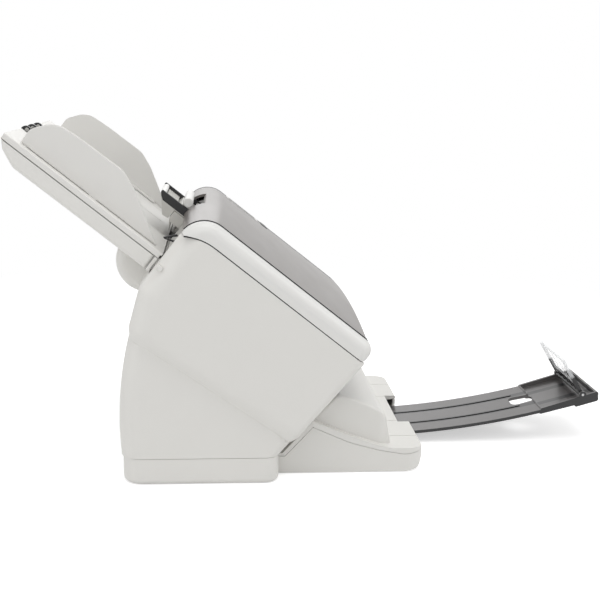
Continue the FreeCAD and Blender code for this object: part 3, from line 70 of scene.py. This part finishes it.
# The camera that was fitted to the photo.
CAMERA_AT = Vector((-1036.8, -17.8, 355.0)) * MM
CAMERA_PITCH = math.radians(11.9)
CAMERA_YAW = math.radians(-2.15)
CAMERA_SHIFT = 0.07
SENSOR_WIDTH = 36.0

# Soft lamps: name, place in metres, size in metres and power in watts; all face LAMP_TARGET.
LAMP_TARGET = Vector((0, -0.05, 0.12))
LAMPS = (
    ("top", (-0.5, -0.3, 2.5), 2.0, 22.0),
    ("side", (-2.3, 0.3, 1.2), 1.6, 8.5),
    ("front", (-0.4, -2.3, 1.5), 1.5, 13.0),
    ("rear", (-0.9, 2.3, 1.0), 1.5, 9.0),
    ("far", (2.2, 0.2, 1.4), 1.6, 9.0),
)


# ---- sizes and colours a user would change


class ScannerColours(bpy.types.PropertyGroup):
    """Colours of the scanner's finishes."""

    shell: FloatVectorProperty(
        name="Shell", description="Covers, plinth, tray and hopper", subtype="COLOR", size=3,
        default=(0.735, 0.725, 0.695), min=0, max=1)
    lid: FloatVectorProperty(
        name="Lid", description="Bright frame of the lid and the bars of the lever",
        subtype="COLOR", size=3, default=(0.74, 0.735, 0.715), min=0, max=1)
    guide: FloatVectorProperty(
        name="Guides", description="Document guides", subtype="COLOR", size=3,
        default=(0.72, 0.71, 0.685), min=0, max=1)
    smoke: FloatVectorProperty(
        name="Top panel", description="Glossy smoke coloured panel", subtype="COLOR", size=3,
        default=(0.178, 0.163, 0.153), min=0, max=1)
    silver: FloatVectorProperty(
        name="Silver plastic", description="Lower half of the lever and the separation cover",
        subtype="COLOR", size=3, default=(0.56, 0.55, 0.52), min=0, max=1)
    inner: FloatVectorProperty(
        name="Inner plastic", description="Paper guides inside the scanner", subtype="COLOR",
        size=3, default=(0.10, 0.10, 0.10), min=0, max=1)
    # Also the colour of the painted shade in the lid's recess and at the top panel's edges, and of
    # the black strips and V pieces that stand in for shade in seams and at the paper's way in.
    dark: FloatVectorProperty(
        name="Dark plastic", description="Lever cheeks, stopper arms, shadow strips and painted shade", subtype="COLOR",
        size=3, default=(0.016, 0.016, 0.017), min=0, max=1)
    charcoal: FloatVectorProperty(
        name="Charcoal plastic", description="Tray extension", subtype="COLOR", size=3,
        default=(0.102, 0.096, 0.095), min=0, max=1)


class ScannerTrim(bpy.types.PropertyGroup):
    """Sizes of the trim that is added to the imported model."""

    grain: FloatProperty(
        name="Grain", description="Size of the moulded texture", default=0.0006, min=0.0001,
        max=0.005, unit="LENGTH")
    bead: FloatProperty(
        name="Bead", description="How far the bead round the top panel stands proud",
        default=0.0009, min=0.0, max=0.003, unit="LENGTH")
    # Width of the band of painted shade along the hopper's seam.
    seam: FloatProperty(
        name="Seam", description="Width of the shaded seam of the hopper", default=0.0011,
        min=0.0002, max=0.004, unit="LENGTH")
    lens: FloatProperty(
        name="Lens", description="Focal length of the camera in millimetres", default=64.08,
        min=10, max=300)


# ---- shader maths


class Flow:
    """A socket of a node tree that takes part in Python expressions."""

    def __init__(self, shop, socket):
        self.shop = shop
        self.socket = socket

    def _maths(self, operation, first, second=None):
        values = {0: first} if second is None else {0: first, 1: second}
        return self.shop.node("ShaderNodeMath", {"operation": operation}, values)

    def __add__(self, other):
        return self._maths("ADD", self, other)

    __radd__ = __add__

    def __sub__(self, other):
        return self._maths("SUBTRACT", self, other)

    def __rsub__(self, other):
        return self._maths("SUBTRACT", other, self)

    def __mul__(self, other):
        return self._maths("MULTIPLY", self, other)

    def __gt__(self, other):
        return self._maths("GREATER_THAN", self, other)

    def __lt__(self, other):
        return self._maths("LESS_THAN", self, other)

    def abs(self):
        return self._maths("ABSOLUTE", self)

    def clamp(self):
        return self.shop.node("ShaderNodeClamp", {}, {0: self})

    def within(self, low, high):
        """1 where the value lies between low and high."""
        return (self > low) * (self < high)


class Shop:
    """The node tree of one finish."""

    def __init__(self, name, owner=None):
        self.material = owner or bpy.data.materials.new(name)
        self.material.use_nodes = True
        self.tree = self.material.node_tree
        self.tree.nodes.clear()

    def node(self, kind, settings, values, output=0):
        """Adds a node: its settings first, then the values or links of its inputs."""
        made = self.tree.nodes.new(kind)
        for key, value in settings.items():
            setattr(made, key, value)
        for key, value in values.items():
            if isinstance(value, Flow):
                self.tree.links.new(value.socket, made.inputs[key])
            else:
                made.inputs[key].default_value = value
        return Flow(self, made.outputs[output])

    def noise(self, size, detail=2.0, stretch=(1, 1, 1)):
        """Noise from 0 to 1 with features about as large as size."""
        here = self.node("ShaderNodeTexCoord", {}, {}, "Object")
        laid = self.node("ShaderNodeMapping", {}, {"Vector": here, "Scale": stretch})
        return self.node("ShaderNodeTexNoise", {},
                         {"Vector": laid, "Scale": 1.0 / size, "Detail": detail}, "Fac")

    def axis(self, name):
        here = self.node("ShaderNodeTexCoord", {}, {}, "Object")
        return self.node("ShaderNodeSeparateXYZ", {}, {0: here}, name)

    def path(self, name):
        """A coordinate of the paper path in metres: X across, Y along it, Z normal to it."""
        here = self.node("ShaderNodeTexCoord", {}, {}, "Object")
        root = Matrix.Rotation(-SLOPE, 3, "X") @ PATH_ROOT
        laid = self.node("ShaderNodeMapping", {},
                         {"Vector": here, "Location": -root, "Rotation": (-SLOPE, 0, 0)})
        return self.node("ShaderNodeSeparateXYZ", {}, {0: laid}, name)

    def seen_directly(self):
        """1 for light that reaches the lens straight, off a polished surface or through glass."""
        rays = [self.node("ShaderNodeLightPath", {}, {}, name)
                for name in ("Is Camera Ray", "Is Glossy Ray", "Is Transmission Ray")]
        return (rays[0] + rays[1] + rays[2]).clamp()

    def mix(self, share, first, second):
        return self.node("ShaderNodeMix", {"data_type": "RGBA"},
                         {0: share, 6: first, 7: second}, 2)

    def bump(self, height, depth, strength=1.0, rounding=0.0):
        """Relief of the given height, on edges that are softened by rounding."""
        values = {"Height": height, "Distance": depth, "Strength": strength}
        if rounding:
            values["Normal"] = self.node("ShaderNodeBevel", {"samples": 3}, {"Radius": rounding})
        return self.node("ShaderNodeBump", {}, values)

    def finish(self, **sockets):
        """The principled surface with the given sockets, written with underscores for spaces."""
        values = {key.replace("_", " "): value for key, value in sockets.items()}
        shader = self.node("ShaderNodeBsdfPrincipled", {}, values)
        out = self.tree.nodes.new("ShaderNodeOutputMaterial")
        self.tree.links.new(shader.socket, out.inputs["Surface"])
        return self.material


def paint(colour):
    return (*colour, 1.0)


def shade(colour, share):
    return tuple(min(1.0, channel * share) for channel in colour)


def moulded(name, colour, roughness, grain, marks=None, rounding=0.0):
    """Moulded plastic: fine spark texture, faint mottling, dust that gathers as slow patches.

    marks(shop) gives pairs of a mask and the colour painted there: on some plastics a second tone
    of their own, on others painted shade in seams and recesses."""
    shop = Shop(name)
    fine = shop.noise(grain, 2)
    slow = shop.noise(0.035, 3)
    patch = shop.noise(0.11, 2)
    base = shop.mix(slow * 0.5, paint(colour), paint(shade(colour, 1 - DUST)))
    base = shop.mix((patch - 0.45).clamp() * 0.25, base, paint(shade(colour, 1 - 2 * DUST)))
    for mask, tone in (marks(shop) if marks else ()):
        base = shop.mix(mask, base, paint(tone))
    rough = roughness + (slow - 0.5) * 0.06 + (fine - 0.5) * 0.08
    return shop.finish(Base_Color=base, Roughness=rough,
                       Normal=shop.bump(fine, GRAIN_DEPTH, 0.6, rounding))


def glossy(name, colour, roughness, marks=None):
    """Polished plastic with slight smears and dust specks."""
    shop = Shop(name)
    smear = shop.noise(0.05, 4, (1, 3, 1))
    speck = (shop.noise(0.0009, 1) - 0.70).clamp() * 3.0
    wave = shop.noise(0.08, 1)
    base = shop.mix(smear * 0.35, paint(colour), paint(shade(colour, 1.12)))
    base = shop.mix(speck.clamp() * 0.2, base, (0.5, 0.5, 0.48, 1))
    # On the top panel the marks are painted shade at its edges.
    for mask, tone in (marks(shop) if marks else ()):
        base = shop.mix(mask, base, paint(tone))
    return shop.finish(Base_Color=base, Roughness=roughness + smear * 0.08 + speck * 0.1,
                       Normal=shop.bump(wave, 0.0004, 0.35))


def steel(name, colour=(0.42, 0.43, 0.44), across=(1, 60, 60)):
    """Rolled steel with long fine scratches."""
    shop = Shop(name)
    grain = shop.noise(0.02, 3, across)
    stain = shop.noise(0.03, 3)
    base = shop.mix(stain * 0.5, paint(colour), paint(shade(colour, 0.82)))
    return shop.finish(Base_Color=base, Metallic=1.0, Roughness=0.28 + grain * 0.16,
                       Normal=shop.bump(grain, 0.00003, 0.5))


def rubber(name, colour):
    """Matt rubber with a ground surface and paper dust."""
    shop = Shop(name)
    fine = shop.noise(0.0004, 3)
    dusty = shop.noise(0.006, 3)
    base = shop.mix((dusty - 0.4).clamp() * 0.5, paint(colour), paint(shade(colour, 2.2)))
    return shop.finish(Base_Color=base, Roughness=0.75 + fine * 0.15,
                       Normal=shop.bump(fine, 0.0001, 0.8))


def clear(name, colour, alpha):
    """Clear plate with faint wiping marks."""
    shop = Shop(name)
    wipe = shop.noise(0.02, 4, (1, 5, 5))
    base = shop.mix(wipe * 0.4, paint(colour), paint(shade(colour, 0.9)))
    return shop.finish(Base_Color=base, Roughness=0.08 + wipe * 0.08,
                       Alpha=alpha + wipe * 0.06, Normal=shop.bump(wipe, 0.00002, 0.4))


def two_tone_stopper(dark, light):
    """Stopper frame: black at its hinge, clear along the two sides of the pane."""
    shop = Shop("stopper_plastic")
    y, z = shop.axis("Y") - STOPPER_HINGE.y, shop.axis("Z") - STOPPER_HINGE.z
    reach = y * math.cos(STOPPER_REST) + z * math.sin(STOPPER_REST)
    pale = reach > STOPPER_DARK
    fine = shop.noise(0.0006, 2)
    wipe = shop.noise(0.02, 4, (1, 5, 5))
    base = shop.mix(pale, paint(dark), paint(light))
    return shop.finish(Base_Color=base, Roughness=0.30 + wipe * 0.08, Alpha=1 - pale * 0.62,
                       Normal=shop.bump(fine, 0.00003, 0.6))


def board(name):
    """Circuit board: green lacquer with fine tracks."""
    shop = Shop(name)
    x = shop.axis("X") * TRACKS_PER_METRE
    track = shop.node("ShaderNodeMath", {"operation": "FRACT"}, {0: x}) > 0.62
    patch = shop.noise(0.012, 2) > 0.5
    base = shop.mix(track * patch, (0.012, 0.10, 0.045, 1), (0.02, 0.17, 0.075, 1))
    return shop.finish(Base_Color=base, Roughness=0.32 + shop.noise(0.01) * 0.1,
                       Normal=shop.bump(track, 0.00004))


# ---- modelling in the level frame of the paper path


class Form:
    """A mesh under construction, in millimetres: X across, Y along the path, Z normal to it."""

    def __init__(self):
        self.mesh = bmesh.new()

    def slab(self, corners, x0, x1):
        """Prism across X whose side view has the given (y, z) corners."""
        verts = [self.mesh.verts.new((x0, y, z)) for y, z in corners]
        face = self.mesh.faces.new(verts)
        grown = bmesh.ops.extrude_face_region(self.mesh, geom=[face])
        moved = [item for item in grown["geom"] if isinstance(item, bmesh.types.BMVert)]
        bmesh.ops.translate(self.mesh, verts=moved, vec=(x1 - x0, 0, 0))

    def pole(self, start, end, radius, sides, rounding):
        """Round bar between two points, with rounded rims."""
        start, end = Vector(start), Vector(end)
        axis = end - start
        turn = axis.to_track_quat("Z", "Y").to_matrix().to_4x4()
        made = bmesh.ops.create_cone(
            self.mesh, cap_ends=True, segments=sides, radius1=radius, radius2=radius,
            depth=axis.length, matrix=Matrix.Translation((start + end) / 2) @ turn)
        rims = {edge for vert in made["verts"] for edge in vert.link_edges
                if abs((edge.verts[0].co - edge.verts[1].co).dot(axis)) < 1e-6}
        bmesh.ops.bevel(self.mesh, geom=list(rims), offset=rounding, affect="EDGES",
                        segments=2, profile=0.5, material=-1)

    def sweep(self, corners, moves):
        """Carries a section of (x, y, z) corners along moves: ("run", offset) or
        ("turn", centre, degrees, steps), the turns about an axle across X."""
        face = self.mesh.faces.new([self.mesh.verts.new(corner) for corner in corners])
        for move in moves:
            if move[0] == "run":
                grown = bmesh.ops.extrude_face_region(self.mesh, geom=[face])["geom"]
                moved = [item for item in grown if isinstance(item, bmesh.types.BMVert)]
                bmesh.ops.translate(self.mesh, verts=moved, vec=move[1])
            else:
                grown = bmesh.ops.spin(self.mesh, geom=[face], cent=move[1], axis=(1, 0, 0),
                                       angle=math.radians(move[2]), steps=move[3])["geom_last"]
            face = [item for item in grown if isinstance(item, bmesh.types.BMFace)][0]

    def mirror(self):
        """Adds the copy on the other side of X = 0."""
        copy = bmesh.ops.duplicate(self.mesh, geom=list(self.mesh.verts) + list(self.mesh.edges)
                                   + list(self.mesh.faces))["geom"]
        verts = [item for item in copy if isinstance(item, bmesh.types.BMVert)]
        bmesh.ops.scale(self.mesh, vec=(-1, 1, 1), verts=verts)

    def finish(self, name, body, material, slot):
        """Makes the piece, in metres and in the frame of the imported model, and puts it on
        its body."""
        bmesh.ops.remove_doubles(self.mesh, verts=self.mesh.verts, dist=1e-4)
        bmesh.ops.recalc_face_normals(self.mesh, faces=self.mesh.faces)
        bmesh.ops.transform(self.mesh, matrix=PATH @ Matrix.Diagonal((MM, MM, MM, 1)),
                            verts=self.mesh.verts)
        data = bpy.data.meshes.new(name)
        self.mesh.to_mesh(data)
        self.mesh.free()
        data.materials.append(material)
        piece = bpy.data.objects.new(name, data)
        bpy.context.scene.collection.objects.link(piece)
        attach(piece, body)


def dress(names, material):
    for name in names:
        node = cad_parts[name]
        for place in range(len(node.material_slots)):
            node.material_slots[place].material = material


# ---- operators


class SCANNER_OT_stage(bpy.types.Operator):
    """Adds the floor, the soft lamps and the camera at the photographed angle"""

    bl_idname = "scanner.stage"
    bl_label = "Stage and camera"

    def execute(self, context):
        scene = context.scene
        floor = bmesh.new()
        bmesh.ops.create_grid(floor, x_segments=2, y_segments=2, size=6.0)
        mesh = bpy.data.meshes.new("floor")
        floor.to_mesh(mesh)
        floor.free()
        ground = bpy.data.objects.new("floor", mesh)
        scene.collection.objects.link(ground)
        ground.data.materials.append(self.pale_floor())
        lamps = [self.lamp(*lamp) for lamp in LAMPS]
        self.world(scene)
        camera = self.camera(scene)
        scene.view_settings.view_transform = "Standard"
        return {"FINISHED"}

    def lamp(self, name, at, size, watts):
        data = bpy.data.lights.new(name, "AREA")
        data.size = size
        data.energy = watts
        lamp = bpy.data.objects.new(name, data)
        lamp.location = at
        ahead = LAMP_TARGET - Vector(at)
        lamp.rotation_euler = ahead.to_track_quat("-Z", "Y").to_euler()
        bpy.context.scene.collection.objects.link(lamp)
        return lamp

    def pale_floor(self):
        """White to the lens and in reflections, with the soft shadow, and plain for other light."""
        shop = Shop("pale_floor")
        seen = shop.seen_directly()
        x, y = shop.axis("X"), shop.axis("Y")
        away = shop.node("ShaderNodeMath", {"operation": "SQRT"}, {0: x * x + y * y})
        cloud = shop.noise(0.5, 2)
        base = shop.mix(cloud * 0.2, (0.82, 0.82, 0.82, 1), (0.80, 0.80, 0.80, 1))
        plain = shop.node("ShaderNodeBsdfDiffuse", {}, {"Color": base})
        glow = shop.node("ShaderNodeEmission", {}, {"Color": (1, 1, 1, 1), "Strength": 0.50})
        near = shop.node("ShaderNodeAddShader", {}, {0: plain, 1: glow})
        far = shop.node("ShaderNodeEmission", {}, {"Color": (1, 1, 1, 1), "Strength": 1.0})
        blend = ((away - 0.55) * 2.5).clamp()
        bright = shop.node("ShaderNodeMixShader", {}, {0: blend, 1: near, 2: far})
        shown = shop.node("ShaderNodeMixShader", {}, {0: seen, 1: plain, 2: bright})
        out = shop.tree.nodes.new("ShaderNodeOutputMaterial")
        shop.tree.links.new(shown.socket, out.inputs["Surface"])
        return shop.material

    def world(self, scene):
        world = bpy.data.worlds.new("studio")
        world.use_nodes = True
        shop = Shop("studio", world)
        room = shop.node("ShaderNodeBackground", {}, {"Color": (1, 1, 1, 1), "Strength": 0.50})
        wall = shop.node("ShaderNodeBackground", {}, {"Color": (1, 1, 1, 1), "Strength": 1.0})
        shown = shop.node("ShaderNodeMixShader", {}, {0: shop.seen_directly(), 1: room, 2: wall})
        out = shop.tree.nodes.new("ShaderNodeOutputWorld")
        shop.tree.links.new(shown.socket, out.inputs["Surface"])
        scene.world = world

    def camera(self, scene):
        data = bpy.data.cameras.new("camera")
        data.sensor_width = SENSOR_WIDTH
        data.lens = scene.scanner_trim.lens
        data.shift_x = CAMERA_SHIFT
        data.clip_start = 0.01
        camera = bpy.data.objects.new("camera", data)
        level = math.cos(CAMERA_PITCH)
        ahead = Vector((level * math.cos(CAMERA_YAW), level * math.sin(CAMERA_YAW),
                        -math.sin(CAMERA_PITCH)))
        camera.location = CAMERA_AT
        camera.rotation_euler = ahead.to_track_quat("-Z", "Y").to_euler()
        scene.collection.objects.link(camera)
        scene.camera = camera
        return camera


class SCANNER_OT_finishes(bpy.types.Operator):
    """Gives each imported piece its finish"""

    bl_idname = "scanner.finishes"
    bl_label = "Finishes of the packed pieces"

    def execute(self, context):
        tint = context.scene.scanner_colours
        grain = context.scene.scanner_trim.grain
        seam = context.scene.scanner_trim.seam
        # Colour of the painted shade along the hopper's seam.
        shadow = shade(tint.shell, 0.16)

        # Painted shade: a dark band along the hopper's seam and down its end, where the gap lies in
        # shadow.
        def hopper_seam_shade(shop):
            across, along, up = shop.path("X").abs(), shop.path("Y"), shop.path("Z")
            side = across > HOPPER_SIDE
            level = up.within(HOPPER_SEAM - seam / 2, HOPPER_SEAM + seam / 2)
            end = along.within(-0.0029, -0.0019) * (up < HOPPER_SEAM)
            return [(side * (level + end).clamp() * 0.65, shadow)]

        # Painted shade: the lid frame is painted dark in the recess under the top panel's edge,
        # where shadow falls.
        def lid_recess_shade(shop):
            across, along = shop.path("X").abs(), shop.path("Y")
            return [(across.within(0.060, PANEL_HALF + 0.0009) * (along > PANEL_FRONT - 0.0009),
                     tint.dark)]

        # Painted shade: the top panel's side and front edges are painted dark, where the gap round
        # the panel lies in shadow.
        def panel_edge_shade(shop):
            across, along, up = shop.path("X").abs(), shop.path("Y"), shop.path("Z")
            side = across > PANEL_HALF - 0.0002
            front = (along < PANEL_FRONT + 0.0002) * (up < LID_TOP)
            return [((side + front).clamp(), tint.dark)]

        def lever_tones(shop):
            across, along, up = shop.path("X").abs(), shop.path("Y"), shop.path("Z")
            edge = up - (along - 0.019).clamp() * 0.7
            low = (edge < 0.0262) * (along > -0.0070)
            tie = across < 0.0329
            return [((low + tie).clamp(), tint.silver)]

        def entry_tones(shop):
            return [(shop.path("Y") > -0.022, shade(tint.silver, 0.8))]

        # Darker in two bands along the grooves and along both outer sides.
        def extension_dark_bands(shop):
            across = shop.axis("X").abs()
            groove = across.within(0.0130, 0.0210)
            side = across > 0.0404
            return [((groove + side).clamp(), tint.dark)]

        shell = moulded("shell_plastic", tint.shell, 0.46, grain)
        dress(("base_plinth", "side_cover_right", "side_cover_left", "rear_cover", "front_cover",
               "tray_lower_shell", "tray_top_shell"), shell)
        dress(("hopper_plate", "hopper_shell"),
              moulded("hopper_plastic", tint.shell, 0.44, grain, marks=hopper_seam_shade))
        dress(("lid_frame",), moulded("lid_plastic", tint.lid, 0.38, grain, marks=lid_recess_shade))
        dress(("lever_bars", "display_bezel"), moulded("bright_plastic", tint.lid, 0.34, grain))
        dress(("guide_left", "guide_right"),
              moulded("guide_plastic", tint.guide, 0.45, grain, rounding=0.0012))
        dress(("smoke_panel",), glossy("smoke_panel", tint.smoke, 0.26, marks=panel_edge_shade))
        dress(("display_window",), glossy("display_black", (0.006, 0.006, 0.007), 0.30))
        dress(("start_button", "stop_button"), glossy("button_black", (0.012, 0.012, 0.013), 0.30))
        dress(("lower_sensor", "upper_sensor", "dc_inlet", "usb_port"),
              moulded("dark_plastic", tint.dark, 0.42, grain))
        dress(("lower_guide",), moulded("lower_plastic", tint.dark, 0.42, grain, marks=entry_tones))
        dress(("upper_housing",),
              moulded("inner_plastic", tint.inner, 0.44, grain, marks=entry_tones))
        dress(("lever_cheeks",),
              moulded("lever_plastic", tint.dark, 0.40, grain, marks=lever_tones))
        dress(("stopper_frame",), two_tone_stopper(tint.dark, (0.80, 0.81, 0.82)))
        dress(("tray_extension",),
              moulded("extension_plastic", tint.charcoal, 0.30, grain, marks=extension_dark_bands))
        dress(("extension_grip",), moulded("grip_plastic", tint.dark, 0.36, grain))
        dress(("separation_cover", "lever_grip"),
              moulded("silver_plastic", tint.silver, 0.42, grain))
        dress(("hopper_extension", "feed_pinch", "eject_pinch"),
              moulded("grey_plastic", (0.42, 0.42, 0.41), 0.45, grain))
        dress(("idler_rear", "idler_middle", "idler_fore", "pick_idler", "guide_pinion",
               "shaft_bushes"), moulded("gear_plastic", (0.68, 0.66, 0.58), 0.35, grain))
        dress(("feed_tyres", "eject_tyres", "pick_roller", "separation_roller"),
              rubber("roller_rubber", (0.05, 0.05, 0.055)))
        dress(("rubber_feet", "tray_feet"), rubber("foot_rubber", (0.02, 0.02, 0.02)))
        dress(("chassis_frame", "drive_motor"), steel("chassis_steel"))
        dress(("motor_pinion", "feed_shaft", "eject_shaft", "pick_shaft", "hinge_pins", "lever_pin",
               "hopper_pins", "stopper_pin", "case_screws"),
              steel("turned_steel", (0.5, 0.5, 0.5), (60, 1, 1)))
        dress(("main_board",), board("board_green"))
        dress(("lower_glass", "upper_glass"), clear("scan_glass", (0.78, 0.84, 0.82), 0.35))
        dress(("stopper_plate",), clear("clear_plastic", (0.86, 0.87, 0.88), 0.22))
        return {"FINISHED"}


class SCANNER_OT_seam_shadow_strips(bpy.types.Operator):
    """Adds black strips that stand in for the shade in the seams: a bead round the top panel and
    strips in the gap between the lid and the side covers
    """

    bl_idname = "scanner.seals"
    bl_label = "Seam shadow strips"

    def execute(self, context):
        tint = context.scene.scanner_colours
        proud = context.scene.scanner_trim.bead / MM
        black = rubber("shadow_strip_rubber", tint.dark)
        x0, x1 = PANEL_HALF / MM + 0.05, PANEL_HALF / MM + 0.75
        low = LID_TOP / MM - 2.0
        # Black bead round the top panel, standing in for the shade of the gap round it.
        bead = Form()
        for side, share in ((-1, 1.0), (1, 0.35)):
            top = LID_TOP / MM + share * proud
            straight = [(side * x0, -31, low), (side * x1, -31, low), (side * x1, -31, top),
                        (side * x0, -31, top)]
            bead.sweep(straight, [("turn", (0, -31, 27.5), -84, 18)])
            bead.sweep(straight, [("run", (0, -157, 0)), ("turn", (0, -188, 46.5), 78, 8)])
        bead.finish("panel_shadow_bead", "lid", black, "rubber_black")

        # Black strips in the seam between the lid and the side covers, standing in for the shade in
        # that gap.
        shadow_strip = Form()
        section = [(147.8, -37, 34.2), (149.95, -37, 34.2), (149.95, -37, 35.1), (147.8, -37, 35.1)]
        shadow_strip.sweep(section, [("turn", (0, -37, -13.8), -34, 14)])
        shadow_strip.sweep(section, [("run", (0, -157, 0))])
        shadow_strip.mirror()
        shadow_strip.finish("lid_shadow_strip", "base", black, "rubber_black")
        return {"FINISHED"}


class SCANNER_OT_marks(bpy.types.Operator):
    """Adds the moulded slide arrows on the outer faces of the two document guides"""

    bl_idname = "scanner.marks"
    bl_label = "Slide arrows of the guides"

    def execute(self, context):
        tint = context.scene.scanner_colours
        plastic = moulded("mark_plastic", tint.guide, 0.4, context.scene.scanner_trim.grain)
        guides = (("arrows_left", -1, "left_guide"), ("arrows_right", 1, "right_guide"))
        for name, side, body in guides:
            form = Form()
            for along, flip in ((70.6, 1), (66.2, -1)):
                self.arrow(form, side * GUIDE_OUTER, side * 0.25, along, 12.6, flip)
            form.finish(name, body, plastic, "guide_white")
        return {"FINISHED"}

    def arrow(self, form, x, proud, along, up, flip):
        """A slim raised arrow that points up the leaf, or down it where flip is -1."""
        shaft = [(along - 0.5, up - 3.8 * flip), (along + 0.5, up - 3.8 * flip),
                 (along + 0.5, up + 1.2 * flip), (along - 0.5, up + 1.2 * flip)]
        head = [(along - 1.6, up + 1.2 * flip), (along + 1.6, up + 1.2 * flip),
                (along, up + 3.8 * flip)]
        for corners in (shaft, head):
            form.slab(corners, x, x + proud)


class SCANNER_OT_throat_shadows(bpy.types.Operator):
    """Adds black V-shaped pieces at the paper's way in, which stand in for the shadow gaps there,
    and the light cores of the grip's rings
    """

    bl_idname = "scanner.fingers"
    bl_label = "Throat shadow pieces and ring cores"

    def execute(self, context):
        tint = context.scene.scanner_colours
        grain = context.scene.scanner_trim.grain
        black = moulded("throat_shadow_plastic", tint.dark, 0.38, grain)
        # Black V-shaped pieces standing in for the shadow gaps in the throat.
        shadow_vees = Form()
        for x in (-100.0, 100.0):
            shadow_vees.slab([(0.8, 8.4), (-7.4, 17.8), (-9.3, 17.0), (-1.6, 8.8), (-9.3, 12.0),
                          (-9.3, 10.2), (-0.8, 7.8)], x - 1.4, x + 1.4)
        shadow_vees.finish("throat_shadow_vees", "lid", black, "dark_plastic")

        light = moulded("core_plastic", tint.silver, 0.4, grain)
        cores = Form()
        for x in (-32.0, 0.0, 32.0):
            cores.pole((x - 2.6, 156.5, 0.2), (x + 2.6, 156.5, 0.2), 1.85, 20, 0.3)
        cores.finish("ring_cores", "chute", light, "grey_plastic")
        return {"FINISHED"}


class SCANNER_PT_panel(bpy.types.Panel):
    """Scanner pieces"""

    bl_idname = "SCANNER_PT_panel"
    bl_label = "Scanner"
    bl_space_type = "VIEW_3D"
    bl_region_type = "UI"
    bl_category = "Scanner"

    def draw(self, context):
        layout = self.layout
        for group in (context.scene.scanner_colours, context.scene.scanner_trim):
            for key in group.__annotations__:
                layout.prop(group, key)
        for operator in OPERATORS:
            layout.operator(operator.bl_idname)


OPERATORS = (SCANNER_OT_finishes, SCANNER_OT_seam_shadow_strips, SCANNER_OT_marks, SCANNER_OT_throat_shadows,
             SCANNER_OT_stage)
CLASSES = (ScannerColours, ScannerTrim) + OPERATORS + (SCANNER_PT_panel,)


def register():
    for kind in CLASSES:
        bpy.utils.register_class(kind)
    bpy.types.Scene.scanner_colours = PointerProperty(type=ScannerColours)
    bpy.types.Scene.scanner_trim = PointerProperty(type=ScannerTrim)


def unregister():
    del bpy.types.Scene.scanner_trim
    del bpy.types.Scene.scanner_colours
    for kind in reversed(CLASSES):
        bpy.utils.unregister_class(kind)


def run(identifier):
    group, name = identifier.split(".")
    if getattr(getattr(bpy.ops, group), name)() != {"FINISHED"}:
        raise RuntimeError(identifier + " did not finish")


def main():
    register()
    for operator in OPERATORS:
        run(operator.bl_idname)


if __name__ == "__main__":
    main()
